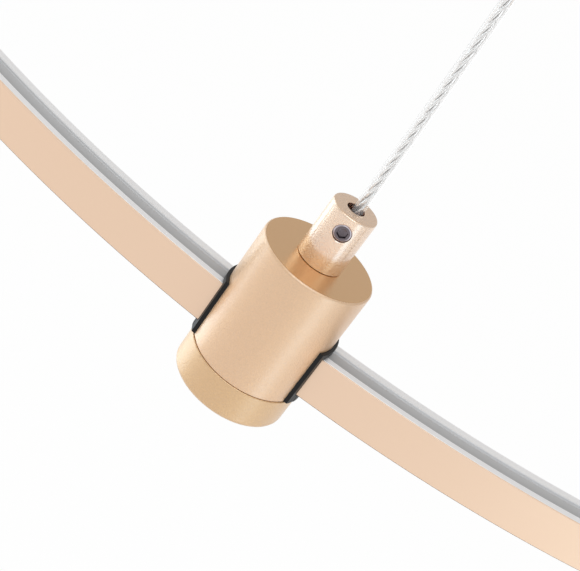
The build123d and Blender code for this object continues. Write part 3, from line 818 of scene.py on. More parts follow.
# Painted shade: the strip below its lower-edge level takes the dark brown colour, for the shade along its
# rounded edge.
BAND_GOLD = ShadedEdgeFinish(
    "gold_band", Slot.GOLD_BAND, (243, 213, 187), 0.5, 0.85,
    grain_size=0.12, grain_tone=0.03, grain_height=0.002, drift_tone=0.03,
    shade_below=-527.88, speck_and_light_colour=(124.0, 84.0, 60.0),
)
RAIL_ALUMINIUM = RailFinish(
    "bare_aluminium", Slot.BARE_ALUMINIUM, (243, 241, 240), 0.42, 0.8, run=LineRun.RADIUS,
)
LINER_BLACK = GrainedFinish(
    "black_plastic", Slot.BLACK_PLASTIC, (12, 10, 10), 0.42,
    grain_size=0.15, grain_tone=0.2, grain_height=0.005, ior=1.36,
)
# The lighter second colour is a painted highlight on the screw's rim and chamfer.
SCREW_STEEL = PaintedLightFinish(
    "dark_steel", Slot.DARK_STEEL, (120, 111, 116), 0.4, 1.0,
    grain_size=0.2, grain_tone=0.3, grain_height=0.006, drift_tone=0.2, speck_and_light_colour=(206.0, 196.0, 202.0),
)
TURNED_STEEL = LinedFinish("turned_steel", Slot.STEEL, (214, 214, 216), 0.28, 1.0)
ZINC_STEEL = GrainedFinish(
    "zinc_steel", Slot.ZINC_STEEL, (208, 212, 218), 0.36, 1.0,
    grain_size=1.4, grain_tone=0.16, grain_height=0.004, drift_tone=0.14,
)
CRIMP_BRASS = LinedFinish("brass", Slot.BRASS, (222, 190, 124), 0.32, 1.0)
SHEATH_CLEAR = ClearFinish("clear_cable", Slot.CLEAR_CABLE, (255, 253, 252), 0.03)
# The darker second colour is painted shade between the wires and where the strands meet.
STRAND_TIN = PaintedLightFinish(
    "tinned_strands", Slot.CLEAR_CABLE, (253, 250, 247), 0.3, 1.0,
    grain_size=0.3, grain_tone=0.2, grain_height=0.004, speck_and_light_colour=(212.0, 208.0, 206.0),
)
LEAD_WHITE = GrainedFinish(
    "lead_sheath", Slot.LEAD_SHEATH, (236, 236, 233), 0.45,
    grain_size=0.5, grain_tone=0.05, grain_height=0.008,
)
STRIP_WHITE = GrainedFinish(
    "strip_white", Slot.STRIP_WHITE, (244, 244, 240), 0.35,
    grain_size=0.4, grain_tone=0.04, grain_height=0.002,
)
CHIP_PHOSPHOR = GrainedFinish(
    "chip_yellow", Slot.CHIP_YELLOW, (246, 222, 128), 0.55,
    grain_size=0.08, grain_tone=0.25, grain_height=0.01,
)
DIFFUSER_OPAL = GrainedFinish(
    "opal", Slot.OPAL, (246, 246, 242), 0.42,
    grain_size=0.6, grain_tone=0.02, grain_height=0.004, coat=0.15,
)
DRIVER_WHITE = GrainedFinish(
    "driver_white", Slot.DRIVER_WHITE, (238, 238, 235), 0.48,
    grain_size=0.5, grain_tone=0.05, grain_height=0.03,
)
PAD_FOAM = GrainedFinish(
    "foam_tape", Slot.FOAM_TAPE, (70, 70, 72), 0.85,
    grain_size=0.35, grain_tone=0.6, grain_height=0.12,
)
TERMINAL_NYLON = GrainedFinish(
    "terminal_white", Slot.TERMINAL_WHITE, (242, 240, 232), 0.38,
    grain_size=0.8, grain_tone=0.05, grain_height=0.01,
)
SPLICE_NYLON = GrainedFinish(
    "splice_grey", Slot.SPLICE_GREY, (168, 168, 171), 0.42,
    grain_size=0.6, grain_tone=0.08, grain_height=0.01,
)


class Workshop:
    """Makes pieces from surfaces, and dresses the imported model's own nodes."""

    def __init__(self, frame: dict[str, Any]) -> None:
        """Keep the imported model's nodes and build the shared node groups.
        """
        self.nodes: dict[str, bpy.types.Object] = frame["nodes"]
        self.effects = EffectShop()
        self.materials: dict[str, bpy.types.Material] = {}

    def material(self, finish: Finish) -> bpy.types.Material:
        """The material of a finish, built the first time that it is asked for.

        Args:
            finish: The finish.

        Returns:
            Its material.
        """
        if finish.name not in self.materials:
            self.materials[finish.name] = finish.make(self.effects)
        return self.materials[finish.name]

    @staticmethod
    def mesh_of(name: str, surface: Surface) -> bpy.types.Mesh:
        """Put a surface into a mesh, with its seams and poles closed and its faces pointing outwards.

        Args:
            name: Name of the mesh.
            surface: The surface, in millimetres.

        Returns:
            The mesh, in metres.
        """
        mesh = bpy.data.meshes.new(name)
        mesh.vertices.add(len(surface.points))
        mesh.vertices.foreach_set("co", (surface.points * MM).astype(np.float32).ravel())
        mesh.loops.add(surface.faces.size)
        mesh.loops.foreach_set("vertex_index", surface.faces.astype(np.int32).ravel())
        mesh.polygons.add(len(surface.faces))
        starts = np.arange(0, surface.faces.size, surface.faces.shape[1], dtype=np.int32)
        mesh.polygons.foreach_set("loop_start", starts)
        mesh.update(calc_edges=True)
        if surface.painted_light_share is not None:
            Workshop.store_painted_light(mesh, surface.painted_light_share)
        work = bmesh.new()
        work.from_mesh(mesh)
        bmesh.ops.remove_doubles(work, verts=work.verts, dist=MERGE_DISTANCE)
        bmesh.ops.recalc_face_normals(work, faces=work.faces)
        work.to_mesh(mesh)
        work.free()
        return mesh

    @staticmethod
    def store_painted_light(mesh: bpy.types.Mesh, painted_light_share: np.ndarray) -> None:
        """Keep how much painted light each point of a mesh takes; the finish's second colour makes it
        highlight or shade.
        """
        values = mesh.attributes.new(PaintedLightFinish.attribute, "FLOAT", "POINT").data
        values.foreach_set("value", painted_light_share.astype(np.float32))

    @staticmethod
    def smooth(mesh: bpy.types.Mesh) -> None:
        """Shade a mesh smooth, apart from its sharp edges."""
        mesh.polygons.foreach_set("use_smooth", np.ones(len(mesh.polygons), dtype=bool))
        mesh.set_sharp_from_angle(angle=SHARP_ANGLE)

    @staticmethod
    def link(name: str, data: bpy.types.ID) -> bpy.types.Object:
        """Make an object at the origin and put it into the scene.

        Args:
            name: Name of the object.
            data: Its mesh, curve, lamp or camera.

        Returns:
            The object.
        """
        made = bpy.data.objects.new(name, data)
        bpy.context.scene.collection.objects.link(made)
        return made

    @staticmethod
    def evaluated(made: bpy.types.Object) -> bpy.types.Mesh:
        """Mesh of an object as its modifiers or its curve leave it."""
        bpy.context.view_layer.update()
        return bpy.data.meshes.new_from_object(made.evaluated_get(bpy.context.evaluated_depsgraph_get()))

    def cut(self, name: str, surface: Surface, cutters: Sequence[Surface]) -> bpy.types.Mesh:
        """Cut surfaces out of another.

        Args:
            name: Name of the mesh.
            surface: The surface that is cut.
            cutters: Closed surfaces that are taken away from it.

        Returns:
            The mesh that is left.
        """
        blank = self.link(f"{name}_blank", self.mesh_of(name, surface))
        tools = [self.link(f"{name}_tool", self.mesh_of("tool", cutter)) for cutter in cutters]
        for tool in tools:
            away = blank.modifiers.new("cut", "BOOLEAN")
            away.operation = "DIFFERENCE"
            away.solver = "EXACT"
            away.object = tool
        left = self.evaluated(blank)
        for spare in (blank, *tools):
            bpy.data.meshes.remove(spare.data)
        return left

    def piece(
        self,
        name: str,
        shape: Surface | bpy.types.Mesh,
        finish: Finish,
        body: str = FIXTURE,
        stands_for: Sequence[str] = (),
        soft_edge: float = 0.0,
    ) -> bpy.types.Object:
        """Make one piece of the light.

        Args:
            name: Name of the piece.
            shape: Its surface, or a mesh that is made already.
            finish: Its finish.
            body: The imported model's body that it rides on.
            stands_for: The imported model's nodes that it replaces.
            soft_edge: Width of the bevel on its sharp edges, or 0 for none.

        Returns:
            The piece's object.
        """
        mesh = self.mesh_of(name, shape) if isinstance(shape, Surface) else shape
        mesh.name = name
        self.smooth(mesh)
        mesh.materials.clear()
        mesh.materials.append(self.material(finish))
        made = self.link(name, mesh)
        if soft_edge:
            bevel = made.modifiers.new("soft_edge", "BEVEL")
            bevel.width = soft_edge * MM
            bevel.segments = BEVEL_STEPS
            bevel.limit_method = "ANGLE"
            bevel.angle_limit = SHARP_ANGLE
        sides = made.modifiers.new("flat_sides", "WEIGHTED_NORMAL")
        sides.keep_sharp = True
        self.settle(made, finish, body, stands_for)
        return made

    @staticmethod
    def settle(made: bpy.types.Object, finish: Finish, body: str, stands_for: Sequence[str]) -> None:
        """Tell the frame what a piece rides on and what it replaces.

        Args:
            made: The piece's object.
            finish: Its finish; not used.
            body: The body that it rides on.
            stands_for: The nodes that it replaces.
        """
        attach(made, body)
        if stands_for:
            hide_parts(*stands_for)
        LOG.info("made %s on %s", made.name, body)

    def dress(self, finishes: dict[str, Finish]) -> None:
        """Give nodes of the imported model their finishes.

        Args:
            finishes: The finish of each node, by the node's name.
        """
        for node, finish in finishes.items():
            for place in self.nodes[node].material_slots:
                place.material = self.material(finish)
            LOG.info("dressed %s in %s", node, finish.name)


@dataclass
class LightRing:
    """The ring: an aluminium rail, its gold skin, and the light strip behind its diffuser."""

    radius: float = 200.0
    top: float = -520.0
    width: float = 7.0
    height: float = 8.0
    skin: float = 0.3
    skin_gap: float = 0.03
    skin_edge: float = 0.12
    skin_lap: float = 0.03
    lip_edge: float = 0.15
    groove_width: float = 3.4
    groove_depth: float = 0.45
    groove_edge: float = 0.06
    groove_soft: float = 0.3
    groove_lean: float = 0.22
    web: float = 1.75
    wall: float = 1.0
    diffuser_height: float = 1.5
    diffuser_fit: float = 0.05
    diffuser_edge: float = 0.25
    diffuser_rim: float = 0.05
    ledge_width: float = 0.3
    ledge_height: float = 0.4
    segments: int = 720

    def turned(self, corners: Sequence[Triple]) -> Surface:
        """Turn a section, given from the ring's middle line and its top, round the light's axis."""
        return lathe(rounded(corners) + np.array([self.radius, self.top]), self.segments)

    def rail(self) -> Surface:
        """Section of the rail: two lips with a groove between, and a channel with two ledges below.

        Returns:
            The rail's surface.
        """
        inner, outer = -self.width / 2, self.width / 2 - self.skin - self.skin_gap
        left, right = inner + self.wall, outer - self.wall
        bottom, floor = -self.height, -self.groove_depth
        half, roof = self.groove_width / 2, floor - self.web
        ledge, step = self.diffuser_height - self.height, self.ledge_width
        shelf = ledge + self.ledge_height
        lip, edge, soft = self.lip_edge, self.groove_edge, self.groove_soft
        return self.turned([
            (inner, bottom, edge), (inner, 0.0, lip), (-half, 0.0, soft),
            (self.groove_lean - half, floor, soft), (half, floor, edge), (half, 0.0, edge),
            (outer, 0.0, lip), (outer, bottom, edge),
            (right, bottom, edge), (right, ledge, 0.0), (right - step, ledge, 0.0),
            (right - step, shelf, 0.0), (right, shelf, 0.0), (right, roof, edge),
            (left, roof, edge), (left, shelf, 0.0), (left + step, shelf, 0.0),
            (left + step, ledge, 0.0), (left, ledge, 0.0), (left, bottom, edge),
        ])

    def band(self) -> Surface:
        """Section of the skin: a thin strip over the rail's outer side.

        Returns:
            The skin's surface.
        """
        outer, bottom, edge = self.width / 2, -self.height, self.skin_edge
        inner = outer - self.skin
        return self.turned([
            (inner, bottom, 0.0), (inner, 0.0, self.skin_lap), (outer, 0.0, edge), (outer, bottom, edge),
        ])

    def diffuser(self) -> Surface:
        """Section of the diffuser: a bar that fills the mouth of the channel, with softened lower edges.

        Returns:
            The diffuser's surface.
        """
        left = -self.width / 2 + self.wall + self.diffuser_fit
        right = self.width / 2 - self.skin - self.skin_gap - self.wall - self.diffuser_fit
        top = self.diffuser_height - self.height - self.diffuser_fit
        bottom, edge, rim = -self.height, self.diffuser_edge, self.diffuser_rim
        return self.turned([
            (left, bottom, edge), (left, top, rim), (right, top, rim), (right, bottom, edge),
        ])

    def build(self, shop: Workshop) -> None:
        """Make the ring's pieces and dress its light strip.

        Args:
            shop: The workshop.
        """
        shop.piece("ring_rail", self.rail(), RAIL_ALUMINIUM, stands_for=["ring_profile"])
        shop.piece("ring_skin", self.band(), BAND_GOLD, stands_for=["ring_band"])
        shop.piece("ring_diffuser", self.diffuser(), DIFFUSER_OPAL, stands_for=["diffuser"])
        shop.dress({"led_strip": STRIP_WHITE, "led_chips": CHIP_PHOSPHOR})


@dataclass
class Connector:
    """One suspension fitting on the ring: slotted body, screw cap, black lining, ferrule and set screw."""

    number: int
    seat: Seat
    ring_radius: float = 200.0
    radius: float = 10.0
    top: float = 12.3
    roof: float = 4.0
    top_edge: float = 0.4
    bore_edge: float = 0.05
    body_soft: float = 0.07
    seam: float = -9.7
    seam_gap: float = 0.06
    seam_edge: float = 0.06
    chamber: float = 4.0
    neck: float = 8.0
    neck_length: float = 4.0
    thread_fit: float = 0.1
    thread_depth: float = 0.2
    thread_pitch: float = 0.75
    thread_start: float = 0.3
    cap_floor: float = 2.3
    cap_proud: float = 0.2
    cap_edge: float = 0.9
    cap_rim: float = 0.2
    slot_half: float = 4.5
    slot_top: float = 1.45
    liner_half: float = 4.45
    liner_top: float = 1.4
    liner_radius: float = 10.6
    liner_steps: int = 12
    liner_soft: float = 0.14
    ring_side: float = 3.6
    ring_fit: float = 0.1
    ring_bottom: float = -8.1
    hook_half: float = 2.8
    ferrule: float = 4.0
    ferrule_bottom: float = 12.35
    ferrule_top: float = 22.85
    ferrule_edge: float = 0.35
    ferrule_foot: float = 0.08
    ferrule_mouth: float = 0.12
    ferrule_soft: float = 0.05
    ferrule_margin: float = 0.02
    bore: float = 1.55
    stud: float = 2.55
    stud_top: float = 16.35
    screw: float = 1.5
    screw_rise: float = 7.55
    screw_turn: float = 9.0
    screw_fit: float = 0.05
    screw_tip: float = 1.05
    screw_end: float = 3.85
    screw_edge: float = 0.25
    screw_mouth: float = 0.1
    rim_inside: float = 0.04
    rim_outside: float = 0.02
    rim_drop: float = 0.01
    rim_highlight: float = 1.2
    socket: float = 0.75
    socket_depth: float = 0.9
    socket_point: float = 0.3
    socket_lead: float = 0.1
    socket_flare: float = 0.06
    segments: int = 192
    screw_segments: int = 96

    def body(self, shop: Workshop) -> bpy.types.Mesh:
        """The body: a turned tube with a threaded neck, cut by the slot that the ring lies in.

        Args:
            shop: The workshop that cuts it.

        Returns:
            The body's mesh.
        """
        neck_bottom = self.seam - self.neck_length
        ridge_top = self.seam - self.thread_start
        ridges = thread(self.neck, self.thread_depth, self.thread_pitch, ridge_top, neck_bottom)
        outline = rounded([
            (self.stud, self.top, self.bore_edge), (self.radius, self.top, self.top_edge),
            (self.radius, self.seam, self.seam_edge), (self.neck, self.seam, 0.0), *ridges,
            (self.neck - self.thread_depth, neck_bottom, 0.0), (self.chamber, neck_bottom, 0.0),
            (self.chamber, self.top - self.roof, 0.0), (self.stud, self.top - self.roof, 0.0),
        ])
        reach = 2 * self.radius
        slot = block((-self.slot_half, -reach, -reach), (self.slot_half, reach, self.slot_top))
        tube = lathe(outline, self.segments).placed(self.seat)
        return shop.cut(f"connector_{self.number}", tube, [slot.placed(self.seat)])

    def cap(self) -> Surface:
        """The cap: a turned cup with a rounded lower edge.

        Returns:
            The cap's surface.
        """
        top, inside = self.seam - self.seam_gap, self.seam - self.neck_length - self.seam_gap
        bottom, bore = inside - self.cap_floor, self.neck + self.thread_fit
        radius = self.radius + self.cap_proud
        outline = rounded([
            (0.0, bottom, 0.0), (radius, bottom, self.cap_edge), (radius, top, self.cap_rim),
            (bore, top, self.bore_edge), (bore, inside, 0.0), (0.0, inside, 0.0),
        ])
        return lathe(outline, self.segments).placed(self.seat)

    def liner(self) -> Surface:
        """The lining: a C-shaped section carried across the body and trimmed by its round side.

        A point of the section at x runs from -sqrt(R^2 - x^2) to +sqrt(R^2 - x^2), R being the lining's
        radius. The inner side bends with the ring: x + sqrt(r^2 - y^2) - r, r being its radius on the ring.

        Returns:
            The lining's surface.
        """
        outer = np.array([
            (-self.hook_half, self.seam), (-self.liner_half, self.seam), (-self.liner_half, self.liner_top),
            (self.liner_half, self.liner_top), (self.liner_half, self.seam), (self.hook_half, self.seam),
        ])
        inner = np.array([
            (-self.hook_half, self.ring_bottom), (-self.ring_side, self.ring_bottom),
            (-self.ring_side, self.ring_fit), (self.ring_side, self.ring_fit),
            (self.ring_side, self.ring_bottom), (self.hook_half, self.ring_bottom),
        ])
        corner = np.arange(len(outer))
        fine = np.linspace(0, len(outer) - 1, (len(outer) - 1) * self.liner_steps + 1)

        def stepped(side: np.ndarray) -> np.ndarray:
            """Points set evenly along each run of one side of the section."""
            return np.stack([np.interp(fine, corner, axis) for axis in side.T], axis=1)

        loop = np.concatenate([stepped(outer), stepped(inner)[::-1]])
        bends = np.concatenate([np.zeros(len(fine)), np.ones(len(fine))])
        share = np.linspace(-1.0, 1.0, 2 * self.liner_steps + 1)[:, None]
        x, z = loop[:, 0] + 0.0 * share, loop[:, 1] + 0.0 * share
        y = share * np.sqrt(self.liner_radius**2 - loop[:, 0] ** 2)
        ring = self.ring_radius + x
        x = x + bends * (np.sqrt(ring**2 - y**2) - ring)
        skin = grid_surface(np.stack([x, y, z], axis=-1), wrap_rows=False)
        count, rows = len(fine), len(share)
        near = np.arange(count - 1)
        end = np.stack([near, near + 1, 2 * count - 2 - near, 2 * count - 1 - near], axis=1)
        ends = np.concatenate([end, end[:, ::-1] + (rows - 1) * 2 * count])
        return Surface(skin.points, np.concatenate([skin.faces, ends])).placed(self.seat)

    def screw_seat(self) -> Seat:
        """Seat of the set screw, with z pointing out of the ferrule.

        Returns:
            The seat.
        """
        out_x, out_y = self.seat.x_axis[:2]
        turn = math.atan2(out_y, out_x) + math.radians(self.screw_turn)
        origin = self.seat.raised(self.ferrule_bottom + self.screw_rise)
        return Seat(origin, (0.0, 0.0, 1.0), (math.cos(turn), math.sin(turn), 0.0))

    def ferrule_mesh(self, shop: Workshop) -> bpy.types.Mesh:
        """The ferrule: a turned sleeve with a countersunk cross hole for the set screw.

        Args:
            shop: The workshop that cuts it.

        Returns:
            The ferrule's mesh.
        """
        outline = rounded([
            (self.stud, self.ferrule_bottom, 0.0), (self.ferrule, self.ferrule_bottom, self.ferrule_foot),
            (self.ferrule, self.ferrule_top, self.ferrule_edge),
            (self.bore, self.ferrule_top, self.ferrule_mouth),
            (self.bore, self.stud_top, 0.0), (self.stud, self.stud_top, 0.0),
        ])
        hole, mouth = self.screw + self.screw_fit, self.screw_mouth
        drill = rounded([
            (0.0, 0.0, 0.0), (hole, 0.0, 0.0), (hole, self.ferrule - mouth, 0.0),
            (hole + 2 * mouth, self.ferrule + mouth, 0.0), (hole + 2 * mouth, 2 * self.ferrule, 0.0),
            (0.0, 2 * self.ferrule, 0.0),
        ])
        sleeve = lathe(outline, self.segments).placed(self.seat)
        cutter = lathe(drill, self.screw_segments).placed(self.screw_seat())
        return shop.cut(f"ferrule_{self.number}", sleeve, [cutter])

    def set_screw(self) -> Surface:
        """The set screw: rings from the middle of its socket, over its end and down to its tip.

        Returns:
            The screw's surface.
        """
        floor, end, edge = self.screw_end - self.socket_depth, self.screw_end, self.screw_edge
        face = self.screw - edge
        rings = [
            (0.0, floor, 1.0), (self.socket, floor + self.socket_point, 1.0),
            (self.socket, end - self.socket_lead, 1.0), (self.socket + self.socket_flare, end, 1.0),
            (face - self.rim_inside, end, 0.0), (face + self.rim_outside, end - self.rim_drop, 0.0),
            (self.screw, end - edge, 0.0), (self.screw, self.screw_tip + edge, 0.0),
            (face, self.screw_tip, 0.0), (0.0, self.screw_tip, 0.0),
        ]
        return hexed_lathe(rings, self.screw_segments, closed=False).placed(self.screw_seat())

    @staticmethod
    def paint_light_span(
        mesh: bpy.types.Mesh, seat: Seat, inner: float, outer: float, low: float, high: float
    ) -> None:
        """Give painted light to the points of a mesh whose radius about a seat and height along it are
        within two spans.

        Args:
            mesh: The mesh.
            seat: The seat that the radius and the height are taken from.
            inner: Least radius.
            outer: Greatest radius.
            low: Least height.
            high: Greatest height.
        """
        away = points_of(mesh) - np.array(seat.origin)
        height = away @ np.array(seat.z_axis)
        radius = np.linalg.norm(away - np.outer(height, seat.z_axis), axis=1)
        Workshop.store_painted_light(mesh, (radius > inner) & (radius < outer) & (height > low) & (height < high))

    def build(self, shop: Workshop) -> None:
        """Make the fitting's pieces and dress the ones that stay as they are.

        Args:
            shop: The workshop.
        """
        n = self.number
        shop.piece(
            f"fitting_body_{n}", self.body(shop), BODY_GOLD,
            stands_for=[f"connector_body_{n}"], soft_edge=self.body_soft,
        )
        shop.piece(
            f"fitting_cap_{n}", self.cap(), CAP_GOLD, body=f"cap_{n}", stands_for=[f"connector_cap_{n}"]
        )
        shop.piece(
            f"ring_lining_{n}", self.liner(), LINER_BLACK,
            stands_for=[f"slot_liner_{n}"], soft_edge=self.liner_soft,
        )
        sleeve = shop.piece(
            f"cable_sleeve_{n}", self.ferrule_mesh(shop), FERRULE_GOLD,
            stands_for=[f"cable_ferrule_{n}"], soft_edge=self.ferrule_soft,
        )
        # Painted shade inside the ferrule's bore.
        bore, mouth = self.bore + self.ferrule_margin, self.ferrule_top - self.ferrule_margin
        self.paint_light_span(sleeve.data, self.seat, 0.0, bore, 0.0, mouth)
        screw = shop.piece(
            f"set_screw_{n}", self.set_screw(), SCREW_STEEL, body=f"screw_{n}",
            stands_for=[f"ferrule_screw_{n}"],
        )
        # Painted highlight: the rim and chamfer of the screw's end take the lighter colour, for the light
        # they catch.
        rim, shoulder = self.screw - self.screw_edge, self.screw_end - self.rim_highlight * self.screw_edge
        self.paint_light_span(screw.data, self.screw_seat(), rim, self.ferrule, shoulder, self.ferrule)
        shop.dress({
            f"ring_pad_{n}": LINER_BLACK, f"ferrule_stud_{n}": TURNED_STEEL,
            f"cable_stop_{n}": CRIMP_BRASS, f"feed_lead_{n}": LEAD_WHITE,
        })


@dataclass
class SuspensionCable:
    """One cable: tinned strands laid in a clear sheath, upright in both fittings and taut between them."""

    number: int
    angle: float
    diameter: float = 2.0
    length: float = 516.0
    exit_level: float = -497.15
    curve_steps: int = 24
    curve_order: int = 3
    sheath_steps: int = 7
    route: tuple[Triple, ...] = (
        (199.7, 0.37, -516.75), (199.7, 0.37, -493.15), (194.3, -0.27, -470.2), (187.1, -1.1, -441.2),
        (102.6, -0.3, -100.7), (92.0, 0.0, -58.0), (92.0, 0.0, -14.0),
    )
    strands: int = 3
    strand_radius: float = 0.21
    strand_lay: float = 7.0
    strand_step: float = 0.5
    wires: int = 7
    wire_lay: float = 5.0
    wire_depth: float = 0.16
    wire_sides: int = 4
    meet_from: float = -0.2
    meet_fade: float = 0.6

    def route_points(self) -> np.ndarray:
        """The route in the frame, from points given outwards, sideways and upwards at the cable's angle."""
        return upright_seat(self.angle, 0.0, 0.0).to_frame(np.array(self.route))

    def curve(self, name: str) -> bpy.types.Curve:
        """Smooth curve with the route as its control points.

        Args:
            name: Name of the curve.

        Returns:
            The curve, in metres.
        """
        made = bpy.data.curves.new(name, "CURVE")
        made.dimensions = "3D"
        made.resolution_u = self.curve_steps
        spline = made.splines.new("NURBS")
        points = self.route_points() * MM
        spline.points.add(len(points) - 1)
        weighted = np.column_stack([points, np.ones(len(points))])
        spline.points.foreach_set("co", weighted.astype(np.float32).ravel())
        spline.order_u = self.curve_order
        spline.use_endpoint_u = True
        return made

    def centreline(self, shop: Workshop) -> np.ndarray:
        """Points read from the route's curve, set evenly along it.

        Args:
            shop: The workshop, which holds the curve while it is read.

        Returns:
            Points in millimetres, a strand's step apart.
        """
        line = shop.link("route", self.curve("route"))
        mesh = shop.evaluated(line)
        points = points_of(mesh)
        bpy.data.meshes.remove(mesh)
        bpy.data.curves.remove(line.data)
        walked = np.concatenate([[0.0], np.cumsum(np.linalg.norm(np.diff(points, axis=0), axis=1))])
        even = np.linspace(0.0, walked[-1], int(walked[-1] / self.strand_step))
        return np.stack([np.interp(even, walked, points[:, axis]) for axis in range(3)], axis=1)

    def bundle(self, line: np.ndarray) -> Surface:
        """The strands: bundles of wires wound round the centreline, each a helix with its own start.

        At a distance s a strand's centre is p(s) + c (n cos f + b sin f), where f = 2 pi (s / lay + its
        share), n and b are square to the line, and c is the radius at which the strands just touch. At an
        angle a round that centre its radius is r (1 - depth (1 - |cos g|)), where g is
        wires (a / 2 - pi s / wire lay). The painted shade is strongest between the wires, (1 - |cos g|)
        squared, and where the strands meet.

        Args:
            line: Points along the cable's middle, evenly set.

        Returns:
            The strands' surface.
        """
        run = unit(np.gradient(line, axis=0))
        turn = math.radians(self.angle)
        across = np.array([-math.sin(turn), math.cos(turn), 0.0]) + 0.0 * run
        square = np.cross(across, run)
        reach = self.strand_radius / math.sin(math.pi / self.strands)
        walked = np.arange(len(line)) * np.linalg.norm(line[1] - line[0])
        share = np.arange(self.strands)[:, None] / self.strands
        phase = (2 * math.pi * (walked / self.strand_lay + share))[..., None]
        outwards = np.cos(phase) * square + np.sin(phase) * across
        pitch = 2 * math.pi * reach / self.strand_lay
        ahead = unit(run + pitch * (np.cos(phase) * across - np.sin(phase) * square))
        beside = np.cross(ahead, outwards)
        side = full_turn(self.wires * self.wire_sides)
        hollow = 1.0 - np.abs(np.cos(self.wires * (side / 2 - math.pi * walked[:, None] / self.wire_lay)))
        thick = self.strand_radius * (1.0 - self.wire_depth * hollow)
        thick[[0, -1]] = 0.0
        outer, edge = np.cos(side)[:, None], np.sin(side)[:, None]
        middle = (line + reach * outwards)[:, :, None]
        tubes = middle + thick[..., None] * (outer * outwards[:, :, None] + edge * beside[:, :, None])
        bundle = joined([grid_surface(tube, wrap_rows=False) for tube in tubes])
        # Painted shade: darkest between the wires and where the strands meet.
        met = np.clip((self.meet_from - np.cos(side)) / self.meet_fade, 0.0, 1.0)
        bundle.painted_light_share = np.tile(np.maximum(hollow**2, met).ravel(), self.strands)
        return bundle

    def build(self, shop: Workshop) -> None:
        """Args:
            shop: The workshop.
        """
        n = self.number
        sheath_curve = self.curve(f"cable_{n}")
        sheath_curve.bevel_depth = self.diameter / 2 * MM
        sheath_curve.bevel_resolution = self.sheath_steps
        sheath_curve.use_fill_caps = True
        sheath_curve.materials.append(shop.material(SHEATH_CLEAR))
        sheath = shop.link(f"cable_{n}", sheath_curve)
        shop.settle(sheath, SHEATH_CLEAR, FIXTURE, [f"suspension_cable_{n}"])
        core = shop.piece(f"cable_strands_{n}", self.bundle(self.centreline(shop)), STRAND_TIN)
        mouth = np.array([*self.route_points()[0][:2], self.exit_level]) * MM


